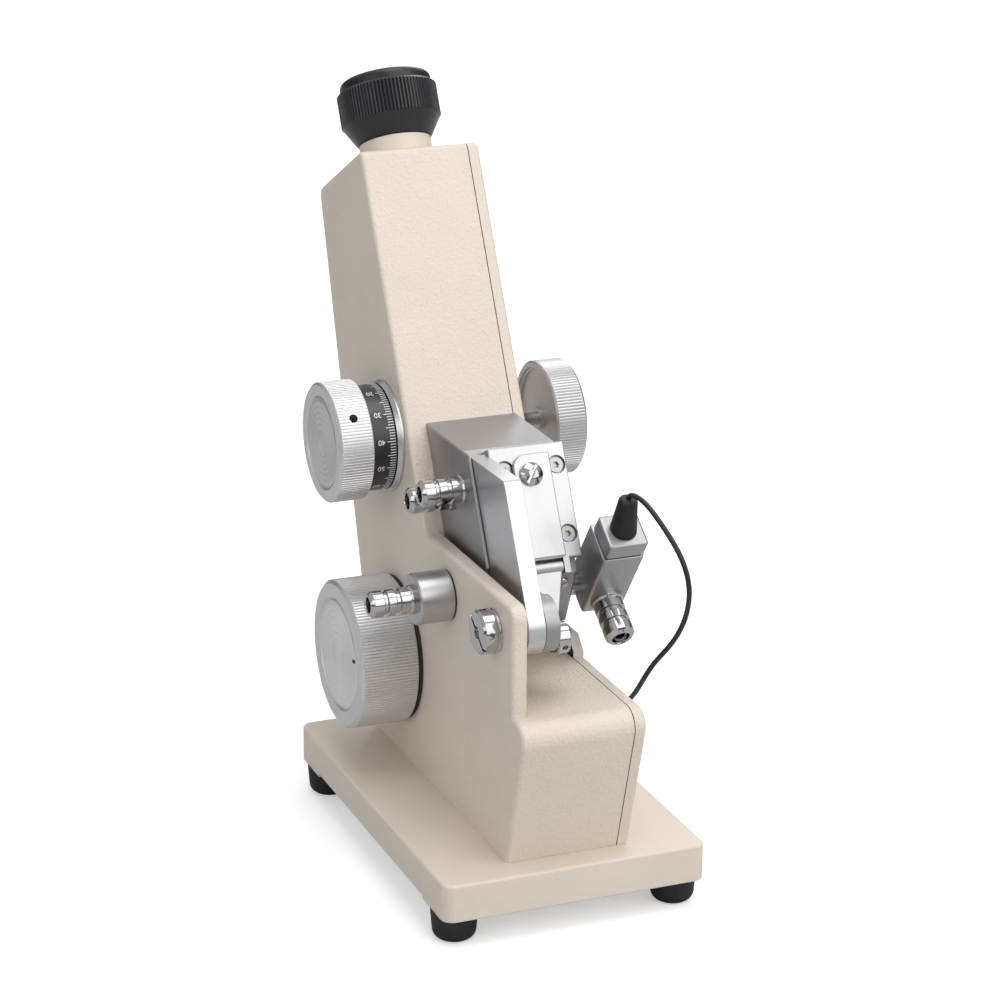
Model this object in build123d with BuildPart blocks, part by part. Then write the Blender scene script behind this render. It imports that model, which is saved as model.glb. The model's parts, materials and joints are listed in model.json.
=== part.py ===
from build123d import *
import os
from math import acos, atan2, cos, degrees, pi, radians, sin, sqrt, tan

os.makedirs("parts", exist_ok=True)

# Bench Abbe refractometer. Millimetres, +Z up, origin on the table plane under the middle of
# the base plate. -Y is the front: the nose and the prism side. +X is the right: the side
# cover. -X is the left and carries the knobs. The column leans back, towards +Y.

CUT = Mode.SUBTRACT

# ================================================================ driving dimensions
FOOT_H = 11.0           # height of the rubber feet
FOOT_X, FOOT_Y = 42.5, 67.5
FOOT_PTS = [(x, y) for x in (-FOOT_X, FOOT_X) for y in (-FOOT_Y, FOOT_Y)]
FOOT_SCREW_R = 2.0
BASE_W, BASE_L, BASE_T = 101.0, 158.4, 14.0
BASE_TOP = FOOT_H + BASE_T

BODY_XL = -23.1         # outer face of the left wall
BODY_XR = 24.3          # outer face of the side cover
SEAM_X = 19.4           # parting plane between housing and cover
COVER_X = SEAM_X + 0.25     # inner face of the cover, a seam gap away
WALL = 4.0
LEFT_WALL = 5.4
INNER_X = BODY_XL + LEFT_WALL   # inner face of the left wall

TILT = radians(27.5)    # lean of the column from vertical
ST, CT = sin(TILT), cos(TILT)
COL_Y, COL_Z = 14.0, 122.3   # where the column's front face passes the cheek's top
COL_TOP = 145.3         # distance along the column from there to the top face
COL_DEPTH = 54.7        # depth of the top face
AXIS_BEHIND = 24.4      # telescope axis behind the column's front face
NOSE_Y, NOSE_Z = -84.6, 81.9    # top of the nose
CHEEK_Y, CHEEK_Z = -72.5, COL_Z     # front edge and top of the left cheek
CHEEK_BOTTOM = 74.0

HINGE = (-56.0, 109.2)  # jaw hinge; every bare pair like this is (Y, Z)
HINGE_EYE_R = 10.1

BLOCK_XL, BLOCK_XR = -15.4, 21.0
BLOCK_TOP = 158.0
BLOCK_OUT = 38.2        # how far the prism head stands off the column
BLOCK_BOTTOM = (-17.0, 93.0)    # its lower front corner
SEAT_OUT = 32.2         # seat of the jaw on the prism head
JAW_UP0 = -20.0         # lower edge of the jaw plate along the slope
ARM_XL, ARM_XR = -14.2, -7.8
PLATE_XL, PLATE_XR = -7.7, 21.6

MEAS = (42.3, 67.1)     # measuring drive axis
MEAS_R = 28.4
KNOB_R = 22.7           # dispersion knob
WHEEL_R = 22.2          # right-hand wheel

GEAR_M = 1.0            # module
PINION_N, SECTOR_N = 14, 68
TOOTH_ADD, TOOTH_DED, TOOTH_THICK = 0.8, 1.1, pi / 2 - 0.07
PRESSURE = radians(20.0)
SHAFT_R = 3.0
MEAS_SHAFT_R = 4.0
WHEEL_SHAFT_R = 2.5
RUN = 0.05              # radial running clearance

# bevel gears: ring and pinion share an apex on the dispersion axis
RING_N, RING_R = 32, 12.0
BEVEL_N, BEVEL_R = 16, 6.0
RING_CONE, BEVEL_CONE = atan2(RING_R, BEVEL_R), atan2(BEVEL_R, RING_R)
BEVEL_ADD, BEVEL_DED, BEVEL_THICK = 0.5, 0.8, 1.037
BEVEL_INNER = 0.8       # small end of the teeth, as a share of the large end


# ================================================================ places and planes
def col(up, behind=0.0):
    """(Y, Z) at a distance up the column and behind its front face."""
    return (COL_Y + up * ST + behind * CT, COL_Z + up * CT - behind * ST)


def up_at(z, behind=0.0):
    """Distance up the column at which a line `behind` its front face reaches height z."""
    return (z - COL_Z + behind * ST) / CT


def level(z, x=0.0, y=0.0):
    """Horizontal plane facing up."""
    return Plane(origin=(x, y, z), x_dir=(1, 0, 0), z_dir=(0, 0, 1))


def across(x, centre):
    """Plane at x, square to the X axis, facing +X; local x is +Y, local y is +Z."""
    return Plane(origin=(x, *centre), x_dir=(0, 1, 0), z_dir=(1, 0, 0))


def along(centre):
    """Plane holding an X-parallel axis; local x is world X, local y is the radius."""
    return Plane(origin=(0, *centre), x_dir=(1, 0, 0), z_dir=(0, -1, 0))


def slope_plane(x, up, behind):
    """Plane parallel to the column's front face, facing out; local y is up the slope."""
    return Plane(origin=(x, *col(up, behind)), x_dir=(1, 0, 0), z_dir=SLOPE_OUT)


def tube_plane(centre):
    """Plane holding the telescope axis; local x runs up the axis, local y is the radius."""
    return Plane(origin=centre, x_dir=TEL, z_dir=(1, 0, 0))


def tube_section(centre, up):
    """Plane square to the telescope axis, facing up it."""
    return Plane(origin=centre + TEL * up, x_dir=(1, 0, 0), z_dir=TEL)


SLOPE_OUT = (0, -CT, ST)
SLOPE_AXIS = Axis((0, 0, 0), SLOPE_OUT)
TEL = Vector(0, ST, CT)                             # telescope axis direction
EYE = Vector(0, *col(COL_TOP, AXIS_BEHIND))         # where it leaves the top face
DISP = col(41.2, AXIS_BEHIND)                       # dispersion axis
DISP_3D = Vector(0, *DISP)

# the sector pivot lies on the telescope axis, one gear centre distance from the measuring shaft
AXIS_FOOT = col(0, AXIS_BEHIND)
FOOT_DY, FOOT_DZ = AXIS_FOOT[0] - MEAS[0], AXIS_FOOT[1] - MEAS[1]
FOOT_ALONG = FOOT_DY * ST + FOOT_DZ * CT
GEAR_CENTRES = GEAR_M * (PINION_N + SECTOR_N) / 2
SECT_UP = -FOOT_ALONG + sqrt(FOOT_ALONG ** 2 - FOOT_DY ** 2 - FOOT_DZ ** 2 + GEAR_CENTRES ** 2)
SECT = col(SECT_UP, AXIS_BEHIND)
SECT_DIR = atan2(MEAS[1] - SECT[1], MEAS[0] - SECT[0])   # from sector pivot to pinion
MIRROR_DIR = (0, 0.9537, 0.3007)                    # along the mirror's face

FLAP_UP, FLAP_BEHIND = -22.7, -36.4
FLAP = col(FLAP_UP, FLAP_BEHIND)                    # flap hinge
LUG_SCREW = (-56.2, 103.1)                          # capstan screw in the fixed lug
HOSE_BOSS = (-10.6, 106.5)
BLOCK_HOSES = [(-5.7, 144.3), (6.9, 137.7)]
SENSOR = (-16.8, 107.0)
SCALE_WINDOW = (18.0, 70.0)
CABLE_ENTRY = (-40.0, 64.0)

SCREW_PTS = [(-12.0, -52.0), (12.0, -52.0), (-12.0, 50.0), (12.0, 50.0)]    # (X, Y)
BLOCK_SCREWS = [(-9.0, -20.0), (13.0, -20.0), (-9.0, 31.0), (13.0, 31.0)]   # (X, up)
PLATE_PTS = [(17.7, 13.9), (17.7, -11.5), (-2.4, 13.9), (-2.4, -11.5)]      # (X, up)
COVER_PTS = [(-70.0, 68.0), (-56.0, 35.0), (54.0, 35.0),
             col(62, 60), col(138, 46.5), col(138, 7.8)]

BODY_OUTLINE = [(-68.4, BASE_TOP), (NOSE_Y, NOSE_Z), col(-45.55), col(COL_TOP),
                col(COL_TOP, COL_DEPTH), (67.1, BASE_TOP)]


# ================================================================ outlines
def polar(radius, angle):
    return (radius * cos(angle), radius * sin(angle))


def knurl_points(radius, ribs, depth, flat):
    """Straight knurl: ribs on the radius, grooves cut to depth, flat in pitches."""
    return [polar(r, 2 * pi * (i + share) / ribs)
            for i in range(ribs)
            for share, r in ((-flat, radius), (flat, radius), (0.5, radius - depth))]


def involute_half(radius, teeth):
    """Half the angle of a tooth at a radius."""
    def inv(angle):
        return tan(angle) - angle
    pitch_r = teeth * GEAR_M / 2
    base_r = pitch_r * cos(PRESSURE)
    half = TOOTH_THICK / (2 * pitch_r) + inv(PRESSURE)
    return half if radius <= base_r else half - inv(acos(base_r / radius))


def gear_points(teeth, phase, indices):
    """Involute teeth centred at phase + k pitch for each k in indices."""
    pitch_r = teeth * GEAR_M / 2
    root_r, tip_r = pitch_r - TOOTH_DED, pitch_r + TOOTH_ADD
    start = max(pitch_r * cos(PRESSURE), root_r + 0.02)
    radii = [root_r] + [start + (tip_r - start) * i / 5 for i in range(6)]
    return [polar(r, phase + 2 * pi * k / teeth + side * involute_half(r, teeth))
            for k in indices
            for side, flank in ((-1, radii), (1, radii[::-1]))
            for r in flank]


def bevel_points(teeth, radius, cone, scale, phase=0.0):
    """Straight bevel teeth on the large end (scale 1) or a section nearer the apex."""
    slope = tan(PRESSURE)
    root = (radius - BEVEL_DED / cos(cone), BEVEL_THICK + 2 * BEVEL_DED * slope)
    tip = (radius + BEVEL_ADD / cos(cone), BEVEL_THICK - 2 * BEVEL_ADD * slope)
    return [polar(scale * r, phase + 2 * pi * k / teeth + side * width / (2 * r))
            for k in range(teeth)
            for side, flank in ((-1, (root, tip)), (1, (tip, root)))
            for r, width in flank]


# ================================================================ modelling helpers
# These act on whichever builder is open where they are called.
def fill(*points):
    """Closed polygon, added to the open sketch."""
    with BuildLine() as outline:
        Polyline(*points, close=True)
    make_face(outline.edges())


def turn(plane, *points, mode=Mode.ADD):
    """Revolve a polygon about the plane's local x axis; points are (along, radius)."""
    with BuildSketch(plane) as profile:
        fill(*points)
    revolve(profile.sketch, axis=Axis(plane.origin, plane.x_dir), mode=mode)


def disc(plane, radius, length, mode=Mode.ADD, both=False, places=((0, 0),)):
    with BuildSketch(plane) as face:
        with Locations(*places):
            Circle(radius)
    extrude(face.sketch, amount=length, both=both, mode=mode)


def drill(plane, radius, depth, both=False, places=((0, 0),)):
    disc(plane, radius, depth, CUT, both, places)


def slab(plane, width, height, length, mode=Mode.ADD, angle=0):
    with BuildSketch(plane) as face:
        Rectangle(width, height, rotation=angle)
    extrude(face.sketch, amount=length, mode=mode)


def rounded_slab(plane, width, height, radius, length):
    with BuildSketch(plane) as face:
        RectangleRounded(width, height, radius)
    extrude(face.sketch, amount=length)


def knurl(plane, radius, ribs, depth, length, flat=0.24):
    with BuildSketch(plane) as face:
        fill(*knurl_points(radius, ribs, depth, flat))
    extrude(face.sketch, amount=length)


def lens(plane, back, edge, radius, sag):
    """Lens flat at `back`, with a spherical cap rising by sag from `edge` up the axis."""
    sphere_r = (radius * radius + sag * sag) / (2 * sag)
    centre = edge + sag - sphere_r
    mid = atan2(radius, edge - centre) / 2
    with BuildSketch(plane) as profile:
        with BuildLine():
            Polyline((edge + sag, 0), (back, 0), (back, radius), (edge, radius))
            ThreePointArc((edge, radius),
                          (centre + sphere_r * cos(mid), sphere_r * sin(mid)),
                          (edge + sag, 0))
        make_face()
    revolve(profile.sketch, axis=Axis(plane.origin, plane.x_dir))


def turned(plane, *points):
    """A whole piece made by one turn."""
    with BuildPart() as body:
        turn(plane, *points)
    return body.part


def ring(plane, outer, inner, length):
    """A whole piece: a flat ring."""
    with BuildPart() as body:
        with BuildSketch(plane):
            Circle(outer)
            Circle(inner, mode=CUT)
        extrude(amount=length)
    return body.part


PIECES = []


def piece(build):
    """Register a function that returns one piece; the file takes the function's name."""
    PIECES.append(build)
    return build


# ================================================================ base and housing
@piece
def base_plate():
    underside = level(FOOT_H)
    with BuildPart() as base:
        rounded_slab(underside, BASE_W, BASE_L, 4.5, BASE_T)
        fillet(base.edges().group_by(Axis.Z)[-1], radius=1.1)
        slab(underside, BASE_W + 2, BASE_L - 44.4, 1.3, CUT)
        drill(underside, 2.75, BASE_T, places=SCREW_PTS)
        drill(underside, 4.9, 7.0, places=SCREW_PTS)
        drill(underside, FOOT_SCREW_R, 9.0, places=FOOT_PTS)
    return base.part


@piece
def rubber_feet():
    with BuildPart() as feet:
        for x, y in FOOT_PTS:
            # profile is (radius, height)
            with BuildSketch(Plane(origin=(x, y, 0), x_dir=(1, 0, 0), z_dir=(0, -1, 0))):
                with BuildLine():
                    Polyline((2.2, FOOT_H), (8.6, FOOT_H), (8.0, 3.6))
                    RadiusArc((8.0, 3.6), (5.1, 0.0), 3.8)
                    Polyline((5.1, 0.0), (3.9, 0.0), (3.9, 4.2), (2.2, 4.2), (2.2, FOOT_H))
                make_face()
            revolve(axis=Axis((x, y, 0), (0, 0, 1)))
    return feet.part


@piece
def foot_screws():
    head_z, head_t = 1.6, 2.6
    with BuildPart() as screws:
        for x, y in FOOT_PTS:
            disc(level(head_z, x, y), 3.5, head_t)
            disc(level(head_z + head_t, x, y), FOOT_SCREW_R, 13.8)
            with BuildSketch(level(head_z, x, y)):
                Rectangle(4.2, 1.0)
                Rectangle(1.0, 4.2)
            extrude(amount=1.3, mode=CUT)
    return screws.part


def round_body_corners(outline):
    """Round the nose, the rear top corner and the highest corner of the body outline."""
    fillet(outline.vertices().sort_by(Axis.X)[0], radius=7.0)
    fillet(outline.vertices().sort_by(Axis.X)[-1], radius=4.0)
    fillet(outline.vertices().sort_by(Axis.Y)[-1], radius=2.5)


@piece
def main_housing():
    with BuildPart() as housing:
        with BuildSketch(Plane.YZ.offset(BODY_XL)) as outline:
            fill(*BODY_OUTLINE)
            round_body_corners(outline)
        extrude(amount=SEAM_X - BODY_XL)
        # cheek: the left wall runs on upward beside the prism head
        with BuildSketch(Plane.YZ.offset(BODY_XL)) as cheek:
            fill((CHEEK_Y, CHEEK_BOTTOM), (CHEEK_Y, CHEEK_Z), (COL_Y, CHEEK_Z), col(8, 6),
                 (10.0, CHEEK_BOTTOM))
            fillet(cheek.vertices().group_by(Axis.Y)[-2].sort_by(Axis.X)[0], radius=5.0)
        extrude(amount=LEFT_WALL)
        fillet(housing.edges().filter_by(GeomType.LINE).filter_by(
            lambda e: abs(e.center().X - BODY_XL) < 1e-4
            and e.center().Z > BASE_TOP + 0.5), radius=1.6)
        with BuildSketch(Plane.YZ.offset(INNER_X)):
            fill(*BODY_OUTLINE)
            offset(amount=-WALL, kind=Kind.INTERSECTION, mode=Mode.REPLACE)
        extrude(amount=SEAM_X - BODY_XL, mode=CUT)
        # spacer boss on the cheek's inner face for the hinge pin
        disc(across(INNER_X, HINGE), 6.2, ARM_XL - 0.1 - INNER_X)
        # screw bosses for the side cover, and for the screws through the base
        for centre in COVER_PTS:
            disc(across(INNER_X, centre), 3.6, SEAM_X - INNER_X)
        disc(level(BASE_TOP + 1.0), 6.0, 13.0, places=SCREW_PTS)
        # holes in the left wall: drives, hinge pin, hose boss, sector shaft
        drill(across(BODY_XL, DISP), 6.0, LEFT_WALL)
        drill(across(BODY_XL, MEAS), 7.0, LEFT_WALL)
        drill(across(BODY_XL, HINGE), SHAFT_R, 12.0)
        drill(across(BODY_XL, HOSE_BOSS), 3.5, LEFT_WALL)
        drill(across(INNER_X, SECT), SHAFT_R + RUN, -3.5)
        # telescope, light port, screws
        drill(tube_section(EYE, 0), 12.0, -8.0, both=True)
        drill(slope_plane(0, SECT_UP, 0), 7.0, -WALL - 1, both=True)
        for x, up in BLOCK_SCREWS:
            drill(slope_plane(x, up, 0), 2.75, -WALL - 1, both=True)
        for centre in COVER_PTS:
            drill(across(SEAM_X, centre), 1.5, -12.0)
        drill(level(BASE_TOP), 2.5, 12.5, places=SCREW_PTS)
    return housing.part


@piece
def side_cover():
    with BuildPart() as cover:
        with BuildSketch(Plane.YZ.offset(COVER_X)) as outline:
            fill(*BODY_OUTLINE)
            round_body_corners(outline)
            # corner piece where the nose meets the column
            fill((-27.0, 78.0), (-27.0, 84.0), (-21.5, 89.6), (-2.0, 89.6), (-2.0, 78.0))
        extrude(amount=BODY_XR - COVER_X)
        fillet(cover.edges().filter_by(lambda e: abs(e.center().X - BODY_XR) < 1e-4),
               radius=1.8)
        drill(across(SEAM_X, DISP), 5.0, 10.0)
        drill(across(COVER_X, SECT), SHAFT_R + RUN, 3.0)
        for centre in COVER_PTS:
            turn(along(centre), (SEAM_X, 0), (BODY_XR + 1, 0), (BODY_XR + 1, 3.1),
                 (BODY_XR, 3.1), (BODY_XR - 1.6, 1.6), (SEAM_X, 1.6), mode=CUT)
        # opening for the ground-glass window that lights the scale
        drill(across(SEAM_X, SCALE_WINDOW), 7.0, 10.0)
        drill(across(BODY_XR - 1.6, SCALE_WINDOW), 9.0, 5.0)
        drill(across(SEAM_X, CABLE_ENTRY), 3.0, 10.0)
    return cover.part


@piece
def scale_window():
    return turned(along(SCALE_WINDOW), (COVER_X, 0), (BODY_XR - 0.4, 0), (BODY_XR - 0.1, 8.2),
                  (BODY_XR - 0.6, 9.0), (BODY_XR - 1.6, 9.0), (BODY_XR - 1.6, 7.0),
                  (COVER_X, 7.0))


@piece
def cover_screws():
    tip = SEAM_X - 9.0
    with BuildPart() as screws:
        for centre in COVER_PTS:
            turn(along(centre), (tip, 0), (BODY_XR - 0.1, 0), (BODY_XR - 0.1, 2.9),
                 (BODY_XR - 1.5, 1.5), (tip, 1.5))
            with BuildSketch(across(BODY_XR, centre)):
                Rectangle(3.4, 0.8)
                Rectangle(0.8, 3.4)
            extrude(amount=-1.2, mode=CUT)
    return screws.part


@piece
def frame_screws():
    """M5 socket cap screws: four up through the base, four out into the prism head."""
    socket_depth, head_h = 2.8, 5.0
    # (plane of the head's end, shank length)
    screws = [(level(FOOT_H + 2.0, x, y), 18.0) for x, y in SCREW_PTS]
    screws += [(slope_plane(x, up, WALL + head_h), 14.0) for x, up in BLOCK_SCREWS]
    with BuildPart() as frame:
        for head, shank in screws:
            with BuildSketch(head):
                Circle(4.25)
                RegularPolygon(2.3, 6, mode=CUT)
            extrude(amount=socket_depth)
            disc(head.offset(socket_depth), 4.25, head_h - socket_depth)
            disc(head.offset(head_h), 2.5, shank)
    return frame.part


# ================================================================ telescope and eyepiece
TEL_R, TEL_BORE = 12.0, 10.5
TEL_SEAT = -74.5        # shoulder that carries the objective
BARREL_R, BARREL_BORE = 10.0, 8.6
FIELD_SEAT = -14.0
GRIP_R = 19.3
GRIP_X0, GRIP_X1 = 8.6, 29.4
NECK_TOP = 8.3


@piece
def telescope_tube():
    return turned(tube_plane(EYE), (-78.0, 9.0), (-78.0, TEL_R), (3.0, TEL_R),
                  (3.0, TEL_BORE), (TEL_SEAT, TEL_BORE), (TEL_SEAT, 9.0))


@piece
def telescope_lenses():
    with BuildPart() as lenses:
        lens(tube_plane(EYE), back=TEL_SEAT, edge=-71.2, radius=TEL_BORE, sag=1.6)
        disc(tube_section(EYE, -26.0), TEL_BORE, 1.5)
    return lenses.part


@piece
def eyepiece_neck():
    return turned(tube_plane(EYE), (0, TEL_R), (0, 14.6), (1.0, 13.8), (NECK_TOP, 13.8),
                  (NECK_TOP, BARREL_R + RUN), (3.0, BARREL_R + RUN), (3.0, TEL_R))


@piece
def eyepiece_barrel():
    return turned(tube_plane(EYE), (-18.0, BARREL_R), (27.0, BARREL_R), (27.0, BARREL_BORE),
                  (FIELD_SEAT, BARREL_BORE), (FIELD_SEAT, 8.0), (-18.0, 8.0))


@piece
def field_lens():
    with BuildPart() as glass:
        lens(tube_plane(EYE), back=FIELD_SEAT, edge=-12.0, radius=BARREL_BORE, sag=1.5)
    return glass.part


@piece
def eyepiece_grip():
    plane = tube_plane(EYE)
    with BuildPart() as grip:
        knurl(tube_section(EYE, GRIP_X0), GRIP_R, 84, 0.55, 21.0, flat=0.2)
        # turned outline with a flare at the bottom
        turn(plane, (GRIP_X0, BARREL_R), (GRIP_X0, 14.3), (9.4, 14.9), (15.6, 18.6),
             (16.4, GRIP_R), (28.4, GRIP_R), (GRIP_X1, 18.3), (GRIP_X1, BARREL_R),
             mode=Mode.INTERSECT)
        # plain core, which shows as lands above and below the ribs
        turn(plane, (GRIP_X0, BARREL_R), (GRIP_X0, 14.0), (15.8, 18.4), (16.8, 18.65),
             (28.0, 18.65), (28.6, 18.3), (GRIP_X1, 18.3), (GRIP_X1, BARREL_R))
    return grip.part


@piece
def eye_cup():
    with BuildPart() as cup:
        with BuildSketch(tube_plane(EYE)):
            with BuildLine():
                Polyline((GRIP_X1, 8.6), (GRIP_X1, 17.6), (31.0, 17.6))
                ThreePointArc((31.0, 17.6), (32.9, 16.9), (33.7, 15.0))
                Polyline((33.7, 15.0), (33.7, 13.6), (31.6, 9.2), (30.6, 8.6),
                         (GRIP_X1, 8.6))
            make_face()
        revolve(axis=Axis(EYE, TEL))
    return cup.part


@piece
def eye_lens():
    with BuildPart() as glass:
        lens(tube_plane(EYE), back=25.5, edge=29.6, radius=BARREL_BORE, sag=1.3)
    return glass.part


# ================================================================ dispersion compensator
CELL_R = 10.0           # cell journal
AMICI_R = 8.0
KNOB_X0, KNOB_X1 = -48.7, -35.4         # knurled knob
KNOB_BORE_X = KNOB_X0 + 4.5
DRUM_X1 = -25.8
WHEEL_X0, WHEEL_X1 = 38.0, 50.4
SET_DIR = Vector(0, -sin(radians(52)), cos(radians(52)))    # knob set screw, outwards
SET_R, SET_L = 1.6, 16.6


def set_screw_plane(distance):
    """Plane square to the set screw, at a distance from the knob's axis."""
    origin = Vector((KNOB_X0 + KNOB_X1) / 2, *DISP) + SET_DIR * distance
    return Plane(origin=origin, x_dir=(1, 0, 0), z_dir=SET_DIR)


@piece
def compensator_tube():
    bore = CELL_R + RUN
    with BuildPart() as tube:
        turn(tube_plane(DISP_3D), (-21.0, bore), (-21.0, 16.0), (21.0, 16.0), (21.0, bore),
             (14.0, bore), (14.0, 14.0), (-14.0, 14.0), (-14.0, bore))
        drill(across(-30.0, DISP), 7.4, 60.0)
    return tube.part


def amici_cell(side):
    """Prism cell with a bevel ring; side is 1 above the dispersion axis, -1 below."""
    # (distance from the dispersion axis, radius)
    profile = [(BEVEL_R, AMICI_R), (BEVEL_R, 10.1), (6.9, 10.1), (6.9, 13.2), (13.8, 13.2),
               (13.8, CELL_R), (20.5, CELL_R), (20.5, AMICI_R)]
    with BuildPart() as cell:
        turn(tube_plane(DISP_3D), *[(side * x, r) for x, r in profile])
        for scale in (1.0, BEVEL_INNER):
            with BuildSketch(tube_section(DISP_3D, side * BEVEL_R * scale)):
                fill(*bevel_points(RING_N, RING_R, RING_CONE, scale, phase=pi / RING_N))
        loft(ruled=True)
        drill(tube_section(DISP_3D, 0), AMICI_R, side * 22.0)
    return cell.part


@piece
def amici_cell_upper():
    return amici_cell(1)


@piece
def amici_cell_lower():
    return amici_cell(-1)


def amici_prism(side):
    """A three-part glass rod, modelled as one cylinder with a sloped outer end."""
    with BuildPart() as rod:
        disc(tube_section(DISP_3D, side * 8.0), AMICI_R, side * 12.0)
        with BuildSketch(tube_plane(DISP_3D)):
            fill((side * 16.5, 9.0), (side * 20.6, -9.0), (side * 20.6, 9.0))
        extrude(amount=9.0, both=True, mode=CUT)
    return rod.part


@piece
def amici_prism_upper():
    return amici_prism(1)


@piece
def amici_prism_lower():
    return amici_prism(-1)


@piece
def dispersion_knob():
    plane = along(DISP)
    with BuildPart() as knob:
        knurl(across(KNOB_X0, DISP), KNOB_R, 120, 0.42, KNOB_X1 - KNOB_X0)
        turn(plane, (KNOB_X0, 0), (KNOB_X0, KNOB_R - 1.1), (KNOB_X0 + 1.1, KNOB_R + 0.1),
             (KNOB_X1 - 0.6, KNOB_R + 0.1), (KNOB_X1, KNOB_R - 0.6), (KNOB_X1, 0),
             mode=Mode.INTERSECT)
        # turned face: rim, shallow step, flat centre
        turn(plane, (KNOB_X0 - 1, 0), (KNOB_X0 + 0.9, 0), (KNOB_X0 + 0.9, 17.2),
             (KNOB_X0, 18.0), (KNOB_X0 - 1, 18.0), mode=CUT)
        # shaft bore
        turn(plane, (KNOB_BORE_X, 0), (KNOB_X1 + 1, 0), (KNOB_X1 + 1, SHAFT_R),
             (KNOB_BORE_X, SHAFT_R), mode=CUT)
        drill(set_screw_plane(0), SET_R, 30.0)
    return knob.part


@piece
def knob_set_screw():
    with BuildPart() as screw:
        disc(set_screw_plane(SHAFT_R), SET_R, SET_L)
        with BuildSketch(set_screw_plane(SHAFT_R + SET_L - 2.0)):
            RegularPolygon(0.95, 6)
        extrude(amount=3.0, mode=CUT)
    return screw.part


@piece
def scale_drum():
    web_x = KNOB_X1 + 3.0
    return turned(along(DISP), (KNOB_X1, SHAFT_R), (KNOB_X1, 20.0), (DRUM_X1 - 0.3, 20.0),
                  (DRUM_X1, 19.7), (DRUM_X1, 17.4), (web_x, 17.4), (web_x, SHAFT_R))


@piece
def dispersion_boss():
    face_x = DRUM_X1 + 0.25
    return turned(along(DISP), (BODY_XL, 6.0), (BODY_XL, 21.3), (-24.0, 21.2),
                  (face_x, 20.2), (face_x, 12.0), (-24.4, 12.0), (-24.4, 6.0))


def bevel_shaft(side, *profile):
    """Shaft on the dispersion axis with a bevel pinion; side is 1 on the right, -1 left."""
    with BuildPart() as shaft:
        turn(along(DISP), *profile)
        for scale in (1.0, BEVEL_INNER):
            with BuildSketch(Plane(origin=(side * RING_R * scale, *DISP), x_dir=TEL,
                                   z_dir=(1, 0, 0))):
                fill(*bevel_points(BEVEL_N, BEVEL_R, BEVEL_CONE, scale))
        loft(ruled=True)
    return shaft.part


@piece
def dispersion_shaft():
    return bevel_shaft(-1, (KNOB_BORE_X, 0), (KNOB_BORE_X, SHAFT_R), (-15.0, SHAFT_R),
                       (-15.0, 5.0), (-RING_R, 5.0), (-RING_R, 0))


@piece
def right_wheel():
    plane = along(DISP)
    with BuildPart() as wheel:
        knurl(across(WHEEL_X0, DISP), WHEEL_R, 116, 0.42, WHEEL_X1 - WHEEL_X0)
        turn(plane, (WHEEL_X0, 0), (WHEEL_X0, WHEEL_R - 0.8), (WHEEL_X0 + 0.8, WHEEL_R + 0.1),
             (WHEEL_X1 - 1.1, WHEEL_R + 0.1), (WHEEL_X1, WHEEL_R - 1.1), (WHEEL_X1, 0),
             mode=Mode.INTERSECT)
        # recess round the hub on the inner face, then the outer face
        turn(plane, (WHEEL_X0 - 1, 4.5), (WHEEL_X0 + 1.6, 4.5), (WHEEL_X0 + 1.6, 19.0),
             (WHEEL_X0 + 1.0, 19.6), (WHEEL_X0 - 1, 19.6), mode=CUT)
        turn(plane, (WHEEL_X1 + 1, 0), (WHEEL_X1 - 0.9, 0), (WHEEL_X1 - 0.9, 16.8),
             (WHEEL_X1, 17.6), (WHEEL_X1 + 1, 17.6), mode=CUT)
        drill(across(WHEEL_X0 - 1, DISP), WHEEL_SHAFT_R, 8.0)
    return wheel.part


@piece
def wheel_shaft():
    end = WHEEL_X0 + 7.0
    return bevel_shaft(1, (RING_R, 0), (RING_R, 5.0), (15.0, 5.0), (15.0, WHEEL_SHAFT_R),
                       (end, WHEEL_SHAFT_R), (end, 0))


@piece
def shaft_bushes():
    """Bushes of the dispersion shaft, the right-hand wheel shaft and the measuring shaft."""
    left_bore, right_bore, meas_bore = SHAFT_R + RUN, WHEEL_SHAFT_R + RUN, MEAS_SHAFT_R + RUN
    with BuildPart() as bushes:
        turn(along(DISP), (-24.4, left_bore), (-24.4, 6.0), (-17.4, 6.0), (-17.4, left_bore))
        turn(along(DISP), (17.2, right_bore), (17.2, 5.0), (BODY_XR, 5.0), (BODY_XR, 7.0),
             (BODY_XR + 1.6, 6.6), (BODY_XR + 1.6, right_bore))
        turn(along(MEAS), (BODY_XL, meas_bore), (BODY_XL, 7.0), (INNER_X, 7.0),
             (INNER_X, 9.0), (-15.7, 9.0), (-15.7, meas_bore))
    return bushes.part


# ================================================================ measuring drive
MEAS_X0, MEAS_X1 = -47.4, -24.9     # measuring knob
MEAS_BORE_X = MEAS_X0 + 4.0
SECT_X0, SECT_X1 = -14.4, -11.4
SECT_HALF = 2 * pi * 7 / SECTOR_N   # half angle of the toothed rim


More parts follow.
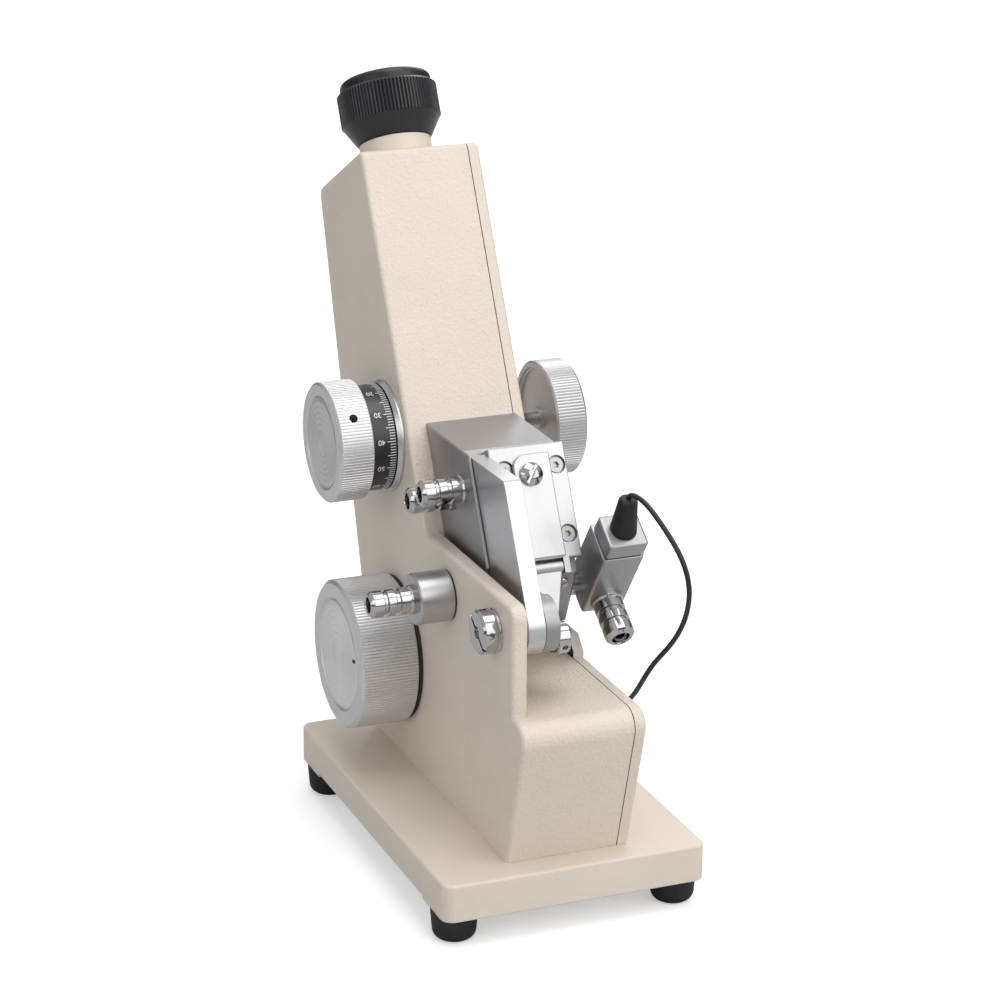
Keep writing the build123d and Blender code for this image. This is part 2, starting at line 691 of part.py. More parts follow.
@piece
def measuring_knob():
    plane = along(MEAS)
    with BuildPart() as knob:
        knurl(across(MEAS_X0, MEAS), MEAS_R, 144, 0.45, MEAS_X1 - MEAS_X0)
        turn(plane, (MEAS_X0, 0), (MEAS_X0, MEAS_R - 1.3), (MEAS_X0 + 1.3, MEAS_R + 0.1),
             (MEAS_X1 - 0.5, MEAS_R + 0.1), (MEAS_X1, MEAS_R - 0.5), (MEAS_X1, 0),
             mode=Mode.INTERSECT)
        # recessed face
        turn(plane, (MEAS_X0 - 1, 0), (MEAS_X0 + 0.8, 0), (MEAS_X0 + 0.8, 21.0),
             (MEAS_X0, 21.8), (MEAS_X0 - 1, 21.8), mode=CUT)
        # hollow back, leaving a hub round the shaft
        turn(plane, (MEAS_X0 + 6.0, 9.0), (MEAS_X1 + 1, 9.0), (MEAS_X1 + 1, 24.5),
             (MEAS_X0 + 6.0, 24.5), mode=CUT)
        drill(across(MEAS_BORE_X, MEAS), MEAS_SHAFT_R, 30.0)
    return knob.part


@piece
def measuring_washer():
    outer_x = BODY_XL - 1.4
    return turned(along(MEAS), (BODY_XL, 9.5), (BODY_XL, 27.6), (outer_x, 27.6),
                  (outer_x, 9.5))


@piece
def measuring_shaft():
    return turned(along(MEAS), (MEAS_BORE_X, 0), (MEAS_BORE_X, MEAS_SHAFT_R),
                  (-10.0, MEAS_SHAFT_R), (-10.0, 0))


@piece
def measuring_pinion():
    with BuildPart() as pinion:
        with BuildSketch(across(-15.2, MEAS)):
            fill(*gear_points(PINION_N, SECT_DIR + pi, range(PINION_N)))
            Circle(MEAS_SHAFT_R, mode=CUT)
        extrude(amount=5.0)
    return pinion.part


@piece
def sector_gear():
    edge = SECT_HALF + 0.02
    with BuildPart() as gear:
        with BuildSketch(across(SECT_X0, SECT)):
            fill(polar(6.0, SECT_DIR - 1.2), polar(27.0, SECT_DIR - edge),
                 *gear_points(SECTOR_N, SECT_DIR + pi / SECTOR_N, range(-7, 7)),
                 polar(27.0, SECT_DIR + edge), polar(6.0, SECT_DIR + 1.2))
            Circle(7.5)
            Circle(SHAFT_R, mode=CUT)
            with PolarLocations(17.0, 1, start_angle=degrees(SECT_DIR)):
                SlotOverall(9.0, 5.0, rotation=90, mode=CUT)
        extrude(amount=SECT_X1 - SECT_X0)
        with BuildSketch(across(SECT_X1, SECT)):
            Circle(6.0)
            Circle(SHAFT_R, mode=CUT)
        extrude(amount=2.2)
    return gear.part


def mirror_plane(x):
    """Plane square to X on the sector pivot; local x lies along the mirror's face."""
    return Plane(origin=(x, *SECT), x_dir=MIRROR_DIR, z_dir=(1, 0, 0))


@piece
def sector_shaft():
    with BuildPart() as shaft:
        turn(along(SECT), (-20.8, 0), (-20.8, SHAFT_R), (-9.0, SHAFT_R), (-9.0, 6.0),
             (12.0, 6.0), (12.0, SHAFT_R), (22.2, SHAFT_R), (22.2, 0))
        # flat that carries the mirror, so that its face holds the pivot axis
        with BuildSketch(mirror_plane(-7.0)):
            with Locations((0, 5.0)):
                Rectangle(14.0, 14.0)
        extrude(amount=17.0, mode=CUT)
    return shaft.part


@piece
def scan_mirror():
    with BuildPart() as mirror:
        with BuildSketch(mirror_plane(-6.5)):
            with Locations((0, -1.0)):
                Rectangle(13.0, 2.0)
        extrude(amount=16.0)
    return mirror.part


@piece
def scale_glass():
    sweep_angles = range(-26, 27, 4)
    with BuildPart() as glass:
        with BuildSketch(across(SECT_X1, SECT)):
            fill(*[polar(26.5, SECT_DIR + radians(a)) for a in sweep_angles],
                 *[polar(20.5, SECT_DIR + radians(a)) for a in sweep_angles[::-1]])
        extrude(amount=1.5)
    return glass.part


# ================================================================ prism head
BLOCK_LIP = col(-20.2, -BLOCK_OUT)  # lower edge of the block's outer face
LUG_X0, LUG_T = -7.6, 5.3           # fixed hinge lug
LUG_X1 = LUG_X0 + LUG_T
LUG_SCREW_X = -6.0                  # tip of the lug screw
LIGHT_W, LIGHT_H = 17.6, 17.0       # illumination prism


def measuring_prism_box(mode=Mode.ADD):
    slab(slope_plane(3.0, 1.2, -SEAT_OUT), 22.0, 21.0, -14.0, mode)


@piece
def prism_block():
    with BuildPart() as block:
        with BuildSketch(Plane.YZ.offset(BLOCK_XL)):
            fill(col(up_at(BLOCK_TOP)), col(up_at(BLOCK_TOP, -BLOCK_OUT), -BLOCK_OUT),
                 BLOCK_LIP, BLOCK_BOTTOM, col(up_at(BLOCK_BOTTOM[1])))
        extrude(amount=BLOCK_XR - BLOCK_XL)
        fillet(block.edges().filter_by(Axis.X).group_by(Axis.Z)[-1].sort_by(Axis.Y)[0],
               radius=1.2)
        chamfer(block.edges().filter_by(lambda e: abs(e.center().X - BLOCK_XR) < 1e-4
                                        and e.center().Z > 99.0), length=0.7)
        chamfer(block.edges().filter_by(lambda e: abs(e.center().X - BLOCK_XL) < 1e-4
                                        and e.center().Z > 154.0), length=0.5)
        # seat for the jaw, leaving a thin skin at the left
        with BuildSketch(Plane.YZ.offset(BLOCK_XL + 1.0)):
            fill(col(-70, -SEAT_OUT), col(60, -SEAT_OUT), col(60, -60), col(-70, -60))
        extrude(amount=60.0, mode=CUT)
        # fixed hinge lug
        with BuildSketch(Plane.YZ.offset(LUG_X0)):
            fill((-57.5, 99.8), (-30.0, 97.5), (-17.5, 97.0), (-22.0, 112.0),
                 (-27.6, 117.2), (-53.0, 117.7))
            with Locations(HINGE):
                Circle(HINGE_EYE_R)
        extrude(amount=LUG_T)
        drill(across(LUG_X0, HINGE), SHAFT_R, LUG_T)
        drill(across(LUG_SCREW_X, LUG_SCREW), 1.5, 5.0)
        # pocket for the measuring prism and light bore behind it
        measuring_prism_box(CUT)
        drill(slope_plane(0, SECT_UP, 0), 6.5, 20.0)
        # hose bores, sensor bore and screw holes
        for centre in BLOCK_HOSES:
            drill(across(BLOCK_XL, centre), 3.0, 7.0)
        drill(across(BLOCK_XR, SENSOR), 2.6, -12.0)
        for x, up in BLOCK_SCREWS:
            drill(slope_plane(x, up, 0), 2.5, 10.2)
    return block.part


@piece
def measuring_prism():
    with BuildPart() as glass:
        measuring_prism_box()
        chamfer(glass.edges().filter_by(Axis.X).sort_by(Axis.Z)[0], length=4.0)
    return glass.part


# ribbed nozzle: (distance from the mouth, radius)
NOZZLE_L = 17.0
NOZZLE_END = NOZZLE_L + 2.6         # with the spigot
NOZZLE = [
    (NOZZLE_L, 5.4), (15.7, 5.4), (15.1, 4.9), (11.6, 4.9), (11.2, 4.2), (10.0, 4.2),
    (9.6, 4.9), (6.8, 4.9), (6.4, 4.2), (5.4, 4.2), (5.0, 4.9), (1.3, 4.9), (0.3, 4.1),
    (0, 3.8), (0, 3.1), (0.3, 2.9), (4.0, 2.9), (4.6, 1.9), (NOZZLE_END, 1.9),
]

PROBE = Vector(32.5, -24.9, 114.4)                      # centre of the probe housing
PROBE_FRONT = Vector(0, -0.808, -0.589).normalized()    # its front normal
PROBE_UP = Vector(0, -0.589, 0.808).normalized()        # its long axis
PROBE_UP_AXIS = Axis((0, 0, 0), PROBE_UP)
PROBE_PORT = PROBE - PROBE_UP * 8.5                     # on the axis of its nozzle


def nozzle_points(mouth, spigot_r=3.0, stoutness=1.0):
    ribs = [(mouth + x, stoutness * r) for x, r in NOZZLE]
    return ribs + [(mouth + NOZZLE_END, spigot_r), (mouth + NOZZLE_L, spigot_r)]


@piece
def hose_nozzles():
    with BuildPart() as nozzles:
        turn(along(HOSE_BOSS), *nozzle_points(-53.9))
        for centre in BLOCK_HOSES:
            turn(along(centre), *nozzle_points(BLOCK_XL - NOZZLE_L))
        # the probe's nozzle is stouter than the other three
        turn(Plane(origin=PROBE_PORT + PROBE_FRONT * 25.4, x_dir=PROBE_FRONT * -1,
                   z_dir=(-1, 0, 0)),
             *nozzle_points(0.0, spigot_r=2.6, stoutness=1.14))
    return nozzles.part


@piece
def hose_boss():
    return turned(along(HOSE_BOSS), (-36.9, 3.0), (-36.9, 8.9), (-36.3, 9.5), (-23.9, 9.5),
                  (-23.9, 3.5), (-17.9, 3.5), (-17.9, 2.0), (-34.3, 2.0), (-34.3, 3.0))


@piece
def boss_gasket():
    return ring(across(BODY_XL, HOSE_BOSS), 9.2, 3.5, -0.8)


@piece
def bleed_screw():
    """Slotted screw head on the undercut face of the block."""
    x, head_t = 15.6, 1.4
    lip = Vector(x, *BLOCK_LIP)
    down = (Vector(x, *BLOCK_BOTTOM) - lip).normalized()
    normal = Vector(0, down.Z, -down.Y)
    seat = Plane(origin=lip + down * 11.6, x_dir=(1, 0, 0), z_dir=normal)
    with BuildPart() as screw:
        disc(seat, 2.3, head_t)
        chamfer(screw.faces().sort_by(Axis((0, 0, 0), normal))[-1].edges(), length=0.3)
        slab(seat.offset(head_t), 5.0, 0.7, -0.7, CUT, angle=26)
    return screw.part


@piece
def hinge_pin():
    head_x = -29.9
    with BuildPart() as pin:
        turn(along(HINGE), (head_x, 0), (head_x, 7.2), (-29.1, 8.0), (-25.0, 8.0),
             (-24.6, 7.5), (-24.0, 7.5), (-23.7, 7.9), (BODY_XL, 7.9), (BODY_XL, SHAFT_R),
             (LUG_X1, SHAFT_R), (LUG_X1, 0))
        with BuildSketch(across(head_x, HINGE)):
            Circle(2.2)
            Rectangle(17.0, 1.3, rotation=38)
        extrude(amount=1.4, mode=CUT)
        # tommy-bar holes round the rim
        for k in range(4):
            angle = radians(83 + 90 * k)
            outward = Vector(0, cos(angle), sin(angle))
            drill(Plane(origin=Vector(-27.2, *HINGE) + outward * 5.4, x_dir=(1, 0, 0),
                        z_dir=outward), 1.15, 4.0)
    return pin.part


@piece
def lug_washer():
    return ring(across(LUG_X1, LUG_SCREW), 4.9, 1.5, 1.1)


@piece
def lug_screw():
    y, z = LUG_SCREW
    end_x = 4.1
    with BuildPart() as screw:
        turn(along(LUG_SCREW), (LUG_SCREW_X, 0), (LUG_SCREW_X, 1.5), (-1.2, 1.5),
             (-1.2, 5.2), (-0.7, 5.7), (3.4, 5.7), (end_x, 5.0), (end_x, 0))
        # two capstan holes
        for start, outward in (((1.5, y - 3.2, z - 1.2), (0, -0.936, -0.351)),
                               ((1.5, y + 1.2, z + 3.2), (0, 0.351, 0.936))):
            drill(Plane(origin=start, x_dir=(1, 0, 0), z_dir=outward), 1.1, 4.0)
        slab(across(end_x, LUG_SCREW), 12.0, 1.1, -1.1, CUT, angle=20)
    return screw.part


# ================================================================ temperature probe
PROBE_TOP = 17.4        # top of the block, up its long axis
CAP_BOTTOM = PROBE_TOP + 0.9
CAP_H = 7.0
CAP_TOP = CAP_BOTTOM + CAP_H
CABLE_R = 0.95
CABLE_IN = 6.0          # length of cable inside the strain relief
CABLE_UP = Vector(0, -0.30, 0.954).normalized()
RELIEF_L = 13.4
RELIEF_START = PROBE + PROBE_UP * CAP_TOP + PROBE_FRONT * 0.6
RELIEF_TIP = RELIEF_START + CABLE_UP * RELIEF_L


def probe_section(up, forward=0.0):
    """Plane square to the probe's long axis, facing up it."""
    return Plane(origin=PROBE + PROBE_UP * up + PROBE_FRONT * forward, x_dir=(1, 0, 0),
                 z_dir=PROBE_UP)


@piece
def sensor_stem():
    return turned(along(SENSOR), (9.0, 0), (9.0, 2.6), (BLOCK_XR, 2.6), (BLOCK_XR, 4.5),
                  (24.45, 4.5), (24.45, 0))


@piece
def sensor_block():
    bottom = -15.2
    with BuildPart() as block:
        rounded_slab(probe_section(bottom), 16.1, 16.8, 1.3, PROBE_TOP - bottom)
        fillet(block.edges().group_by(PROBE_UP_AXIS)[-1], radius=0.8)
        fillet(block.edges().group_by(PROBE_UP_AXIS)[0], radius=0.8)
        rounded_slab(probe_section(PROBE_TOP, 1.0), 12.4, 11.4, 2.0, CAP_BOTTOM - PROBE_TOP)
        drill(Plane(origin=PROBE_PORT + PROBE_FRONT * 8.4, x_dir=(1, 0, 0),
                    z_dir=PROBE_FRONT), 2.6, -3.0)
    return block.part


@piece
def sensor_cap():
    with BuildPart() as cap:
        rounded_slab(probe_section(CAP_BOTTOM, 1.0), 15.4, 14.4, 1.4, CAP_H)
        fillet(cap.edges().group_by(PROBE_UP_AXIS)[-1], radius=1.0)
        fillet(cap.edges().group_by(PROBE_UP_AXIS)[0], radius=0.6)
    return cap.part


@piece
def strain_relief():
    """Plain tapered boot with a rounded tip."""
    with BuildPart() as boot:
        turn(Plane(origin=RELIEF_START, x_dir=CABLE_UP, z_dir=(1, 0, 0)),
             (-0.6, 0), (-0.6, -5.0), (1.0, -4.85), (RELIEF_L - 1.2, -3.5),
             (RELIEF_L - 0.45, -3.15), (RELIEF_L, -2.5), (RELIEF_L, 0))
        drill(Plane(origin=RELIEF_TIP, x_dir=(1, 0, 0), z_dir=CABLE_UP), CABLE_R, -CABLE_IN)
        # seat flat on the cap
        slab(probe_section(CAP_TOP), 30.0, 30.0, -6.0, CUT)
    return boot.part


# cable from the strain relief to the grommet, (x, y, z)
CABLE_END = (27.2, *CABLE_ENTRY)
CABLE_PTS = [
    (33.6, -50.2, 149.2), (36.3, -58.0, 145.2), (39.0, -64.4, 139.2), (41.5, -70.2, 132.0),
    (43.0, -73.4, 123.5), (43.2, -73.0, 115.0), (42.3, -69.8, 106.0), (39.8, -64.6, 96.8),
    (36.6, -59.9, 89.4), (34.4, -56.2, 82.4), (33.8, -50.8, 75.4), (33.2, -44.6, 69.2),
    (31.0, -41.1, 65.3), CABLE_END,
]


@piece
def sensor_cable():
    start = RELIEF_TIP - CABLE_UP * CABLE_IN
    with BuildPart() as cable:
        with BuildLine() as path:
            Line(start, RELIEF_TIP)
            Spline(RELIEF_TIP, *CABLE_PTS, tangents=(CABLE_UP, Vector(-1, 0, 0)),
                   tangent_scalars=(1.0, 1.0))
            Line(CABLE_END, (17.8, *CABLE_ENTRY))
        with BuildSketch(Plane(origin=start, x_dir=(1, 0, 0), z_dir=CABLE_UP)):
            Circle(CABLE_R)
        sweep(path=path.wires()[0])
    return cable.part


@piece
def cable_grommet():
    bore = CABLE_R + 0.08
    return turned(along(CABLE_ENTRY), (COVER_X - 1.2, bore), (COVER_X - 1.2, 3.8),
                  (COVER_X, 3.8), (COVER_X, 3.0), (BODY_XR, 3.0), (BODY_XR, 4.6),
                  (BODY_XR + 1.2, 4.2), (BODY_XR + 2.2, 2.2), (BODY_XR + 2.2, bore))


# ================================================================ jaw
JAW_OUT = SEAT_OUT + 0.1            # back of the jaw, off the column's face
FLANGE_T = 2.1
JAW_UP1 = up_at(157.6, -34.0)       # upper edge of the jaw plate
JAW_MID, JAW_H = (JAW_UP0 + JAW_UP1) / 2, JAW_UP1 - JAW_UP0
ARM_OUT = 66.0
PLATE_OUT = JAW_OUT + FLANGE_T      # back of the front plate
PLATE_T = 4.0
HEAD_OUT = PLATE_OUT + 1.5          # under the plate screws' heads
STRAP_OUT = PLATE_OUT + PLATE_T
FLAP_PIN_R = 1.1
FLAP_PIN_X = ARM_XL + 2.4


def light_opening(behind, length, mode=CUT):
    """The illumination prism's outline, cut or added."""
    slab(slope_plane(4.8, 1.2, behind), LIGHT_W, LIGHT_H, length, mode)


@piece
def jaw_body():
    with BuildPart() as jaw:
        with BuildSketch(Plane.YZ.offset(ARM_XL)):
            fill(col(-24.0, -JAW_OUT), col(JAW_UP1 + 0.6, -JAW_OUT),
                 col(JAW_UP1 - 16.0, -ARM_OUT), col(-43.0, -ARM_OUT), col(-50.0, -60.0),
                 col(-50.5, -52.0))
            with Locations(HINGE):
                Circle(HINGE_EYE_R)
        extrude(amount=ARM_XR - ARM_XL)
        fillet(jaw.edges().filter_by(Axis.X).sort_by(Axis.Z)[-2:], radius=3.0)
        # back flange that carries the front plate
        slab(slope_plane((ARM_XR + PLATE_XR) / 2, JAW_MID, -JAW_OUT), PLATE_XR - ARM_XR,
             JAW_H, FLANGE_T)
        light_opening(-JAW_OUT, 4.0)
        for x, up in PLATE_PTS:
            drill(slope_plane(x, up, -JAW_OUT), 1.25, 4.0)
        drill(across(ARM_XL - 1, HINGE), SHAFT_R + RUN, 10.0)
        drill(across(FLAP_PIN_X, FLAP), FLAP_PIN_R, 10.0)
    return jaw.part


@piece
def front_plate():
    with BuildPart() as plate:
        slab(slope_plane((PLATE_XL + PLATE_XR) / 2, JAW_MID, -PLATE_OUT),
             PLATE_XR - PLATE_XL, JAW_H, PLATE_T)
        chamfer(plate.edges().group_by(SLOPE_AXIS)[-1], length=0.35)
        # ear for the flap pin at the lower right
        slab(slope_plane(15.2, JAW_UP0 - 2.6, -PLATE_OUT - 0.2), 2.4, 5.8, 3.8)
        drill(across(12.0, FLAP), FLAP_PIN_R, 8.0)
        light_opening(-PLATE_OUT, 2.0)
        for x, up in PLATE_PTS:
            drill(slope_plane(x, up, -PLATE_OUT), 1.6, 6.0)
            drill(slope_plane(x, up, -HEAD_OUT), 3.4, 6.0)
    return plate.part


@piece
def plate_screws():
    head_h = 1.7
    with BuildPart() as screws:
        for x, up in PLATE_PTS:
            disc(slope_plane(x, up, -JAW_OUT), 1.25, FLANGE_T)
            disc(slope_plane(x, up, -PLATE_OUT), 1.6, HEAD_OUT - PLATE_OUT)
            disc(slope_plane(x, up, -HEAD_OUT), 2.8, head_h)
            # six-lobe recess
            with BuildSketch(slope_plane(x, up, -HEAD_OUT - head_h)):
                Circle(0.95)
                with PolarLocations(0.95, 6):
                    Circle(0.33)
            extrude(amount=-1.2, mode=CUT)
    return screws.part


STRAP_XL, STRAP_XR = 0.4, 14.8
STRAP_UP0, STRAP_UP1 = JAW_UP0 + 0.6, up_at(156.6, -STRAP_OUT)
STRAP_SCREW_X, STRAP_SCREW_UP = 6.6, up_at(149.9, -STRAP_OUT)
STRAP_SCREW_R = 1.6


@piece
def strap_plate():
    with BuildPart() as strap:
        with BuildSketch(slope_plane(0, 0, -STRAP_OUT)) as face:
            fill((STRAP_XL, STRAP_UP1), (STRAP_XR, STRAP_UP1), (STRAP_XR, STRAP_UP0),
                 (STRAP_XL, STRAP_UP0))
            fillet(face.vertices().group_by(Axis.Z)[0].sort_by(Axis.X)[0], radius=5.0)
        extrude(amount=1.5)
        chamfer(strap.edges().group_by(SLOPE_AXIS)[-1], length=0.3)
        drill(slope_plane(STRAP_SCREW_X, STRAP_SCREW_UP, -STRAP_OUT), STRAP_SCREW_R, 2.0)
    return strap.part


@piece
def strap_screw():
    seat = (STRAP_SCREW_X, *col(STRAP_SCREW_UP, -STRAP_OUT))
    with BuildPart() as screw:
        # profile is (radius, distance out)
        with BuildSketch(Plane(origin=seat, x_dir=(1, 0, 0), z_dir=(0, -ST, -CT))):
            with BuildLine():
                Polyline((0, 0), (STRAP_SCREW_R, 0), (STRAP_SCREW_R, 1.5), (4.3, 1.5),
                         (4.3, 2.5))
                ThreePointArc((4.3, 2.5), (2.3, 3.7), (0, 4.1))
                Line((0, 4.1), (0, 0))
            make_face()
        revolve(axis=Axis(seat, SLOPE_OUT))
        slab(slope_plane(STRAP_SCREW_X, STRAP_SCREW_UP, -STRAP_OUT - 4.2), 10.0, 1.1, -1.3,
             CUT, angle=55)
    return screw.part


@piece
def illumination_prism():
    with BuildPart() as glass:
        light_opening(-JAW_OUT, FLANGE_T + 2.0, Mode.ADD)
    return glass.part


@piece
def flap_pin():
    with BuildPart() as pin:
        disc(across(FLAP_PIN_X, FLAP), FLAP_PIN_R, 28.3)
    return pin.part


@piece
def light_flap():
    left, right = -1.7, 13.6
    with BuildPart() as flap:
        with BuildSketch(slope_plane(0, FLAP_UP, FLAP_BEHIND + 0.9)):
            fill((left, 1.0), (right, 1.0), (right, -1.5), (10.3, -13.8), (8.9, -19.0),
                 (5.7, -15.8), (4.3, -9.6), (left, -1.5))
        extrude(amount=1.9)
        chamfer(flap.edges().group_by(SLOPE_AXIS)[-1].sort_by(Axis.Z)[0:4], length=0.5)
        disc(across(left, FLAP), 2.2, right - left)
        drill(across(-3.0, FLAP), FLAP_PIN_R + RUN, 20.0)
    return flap.part


for build in PIECES:
    part = build()
    part.label = build.__name__
    export_step(part, f"parts/{build.__name__}.step")
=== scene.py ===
# A bench refractometer: enamelled housing, hinged prism jaws, leaning eyepiece column,
# a dispersion knob with a graduated drum, a measuring knob and a wheel on the other side.
# Metres, +Z up. The front faces -Y, the two knobs face -X and the wheel faces +X.
import bpy, bmesh, json, math
from functools import cached_property
from mathutils import Vector, Matrix


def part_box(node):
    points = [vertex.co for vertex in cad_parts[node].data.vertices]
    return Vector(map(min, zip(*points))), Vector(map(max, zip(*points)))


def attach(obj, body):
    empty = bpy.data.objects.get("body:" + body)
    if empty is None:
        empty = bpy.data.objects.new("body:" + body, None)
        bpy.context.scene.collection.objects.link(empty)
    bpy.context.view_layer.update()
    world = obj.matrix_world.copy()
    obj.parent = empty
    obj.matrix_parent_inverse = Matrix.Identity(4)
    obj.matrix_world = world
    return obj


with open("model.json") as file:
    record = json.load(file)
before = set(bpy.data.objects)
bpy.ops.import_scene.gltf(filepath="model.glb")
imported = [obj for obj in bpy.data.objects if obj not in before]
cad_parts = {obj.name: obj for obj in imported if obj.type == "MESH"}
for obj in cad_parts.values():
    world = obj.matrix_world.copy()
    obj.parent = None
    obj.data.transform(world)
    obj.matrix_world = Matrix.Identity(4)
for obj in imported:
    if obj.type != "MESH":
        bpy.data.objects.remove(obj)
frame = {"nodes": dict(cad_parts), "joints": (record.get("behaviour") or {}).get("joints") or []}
NODES = frame["nodes"]
JOINTS = {joint["name"]: joint for joint in frame["joints"]}
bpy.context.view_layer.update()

X_AXIS = Vector((1, 0, 0))
DISPERSION = Vector(JOINTS["dispersion_turn"]["pos_m"])
MEASURING = Vector(JOINTS["measuring_turn"]["pos_m"])
SECTOR = Vector(JOINTS["scale_swing"]["pos_m"])
COLUMN_AXIS = Vector(JOINTS["focus_turn"]["axis"]).normalized()
COLUMN_LEAN = math.atan2(COLUMN_AXIS.y, COLUMN_AXIS.z)     # from vertical, about X


# ------------------------------------------------------------------ node helpers
def add_node(tree, kind, **settings):
    node = tree.nodes.new("ShaderNode" + kind)
    for key, value in settings.items():
        setattr(node, key, value)
    return node


def mix_shader(tree, factor, first, second):
    """Shader that is `first` where factor is 0 and `second` where it is 1."""
    node = add_node(tree, "MixShader")
    for socket, source in zip(node.inputs, (factor, first, second)):
        tree.links.new(source, socket)
    return node.outputs[0]


def shade(color, factor, lift=0.0):
    return [min(1, channel * factor + lift) for channel in color]


class Mat:
    """A small builder for node materials around one Principled shader."""

    INPUTS = {
        "color": "Base Color", "rough": "Roughness", "metal": "Metallic",
        "coat": "Coat Weight", "coat_rough": "Coat Roughness", "coat_tint": "Coat Tint",
        "spec": "Specular IOR Level", "ior": "IOR", "trans": "Transmission Weight",
        "aniso": "Anisotropic", "tangent": "Tangent",
        "glow": "Emission Color", "glow_strength": "Emission Strength",
    }

    def __init__(self, name):
        self.material = bpy.data.materials.new(name)
        self.material.use_nodes = True
        self.tree = self.material.node_tree
        self.tree.nodes.clear()
        self.out = self.node("OutputMaterial")
        self.bsdf = self.node("BsdfPrincipled")
        self.put(self.out.inputs[0], self.bsdf.outputs[0])
        self.normal = None

    @cached_property
    def coords(self):
        """Object coordinates, added on first use."""
        return self.node("TexCoord").outputs["Object"]

    def node(self, kind, **settings):
        return add_node(self.tree, kind, **settings)

    def put(self, socket, value):
        """Link a node output to the socket, or store a plain value in it."""
        if isinstance(value, bpy.types.NodeSocket):
            self.tree.links.new(value, socket)
        elif socket.type == "RGBA":
            socket.default_value = (*value[:3], 1.0)
        else:
            socket.default_value = value

    def set(self, **values):
        for key, value in values.items():
            self.put(self.bsdf.inputs[self.INPUTS[key]], value)

    def calc(self, operation, first, second):
        node = self.node("Math", operation=operation)
        self.put(node.inputs[0], first)
        self.put(node.inputs[1], second)
        return node.outputs[0]

    def vector_calc(self, operation, *operands):
        node = self.node("VectorMath", operation=operation)
        for socket, operand in zip(node.inputs, operands):
            self.put(socket, operand)
        return node.outputs["Value" if operation == "LENGTH" else "Vector"]

    def mapped(self, scale, rotation):
        node = self.node("Mapping")
        self.put(node.inputs["Scale"], scale)
        self.put(node.inputs["Rotation"], rotation)
        self.put(node.inputs["Vector"], self.coords)
        return node.outputs[0]

    def noise(self, scale, detail=2.0, rough=0.5, vector=None):
        node = self.node("TexNoise")
        self.put(node.inputs["Scale"], scale)
        self.put(node.inputs["Detail"], detail)
        self.put(node.inputs["Roughness"], rough)
        self.put(node.inputs["Vector"], self.coords if vector is None else vector)
        return node.outputs["Fac"]

    def voronoi(self, scale):
        node = self.node("TexVoronoi", feature="SMOOTH_F1")
        self.put(node.inputs["Scale"], scale)
        self.put(node.inputs["Vector"], self.coords)
        return node.outputs["Distance"]

    def ramp(self, factor, low, high, to_low=0.0, to_high=1.0):
        """Map low..high onto to_low..to_high."""
        node = self.node("MapRange")
        self.put(node.inputs["From Min"], low)
        self.put(node.inputs["From Max"], high)
        self.put(node.inputs["To Min"], to_low)
        self.put(node.inputs["To Max"], to_high)
        self.put(node.inputs["Value"], factor)
        return node.outputs[0]

    def mix(self, factor, first, second):
        node = self.node("Mix", data_type="RGBA")
        self.put(node.inputs[0], factor)
        self.put(node.inputs[6], first)
        self.put(node.inputs[7], second)
        return node.outputs[2]

    def geometry(self, output, axis):
        """One component (0 x, 1 y, 2 z) of a world-space Geometry output."""
        source = self.node("NewGeometry").outputs[output]
        split = self.node("SeparateXYZ")
        self.put(split.inputs[0], source)
        return split.outputs[axis]

    def dust(self, color_in, amount, dust_color):
        """Faint film that settles on faces looking up."""
        upward = self.ramp(self.geometry("Normal", 2), low=0.6, high=1.0)
        return self.mix(self.calc("MULTIPLY", upward, amount), color_in, dust_color)

    def round_edges(self, radius):
        node = self.node("Bevel", samples=4)
        self.put(node.inputs["Radius"], radius)
        self.normal = node.outputs[0]

    def bump(self, height, strength, distance):
        node = self.node("Bump")
        self.put(node.inputs["Strength"], strength)
        self.put(node.inputs["Distance"], distance)
        self.put(node.inputs["Height"], height)
        if self.normal is not None:
            self.put(node.inputs["Normal"], self.normal)
        self.normal = node.outputs[0]

    def done(self):
        if self.normal is not None:
            self.put(self.bsdf.inputs["Normal"], self.normal)
            self.put(self.bsdf.inputs["Coat Normal"], self.normal)
        return self.material


# ------------------------------------------------------------------ material recipes
# grain: noise scale, larger is finer; strength: bump strength; radius: shaded edge rounding
IVORY = (0.745, 0.662, 0.568)
SEAM_START_X, SEAM_END_X = 0.019385, 0.01967      # parting line of housing and cover


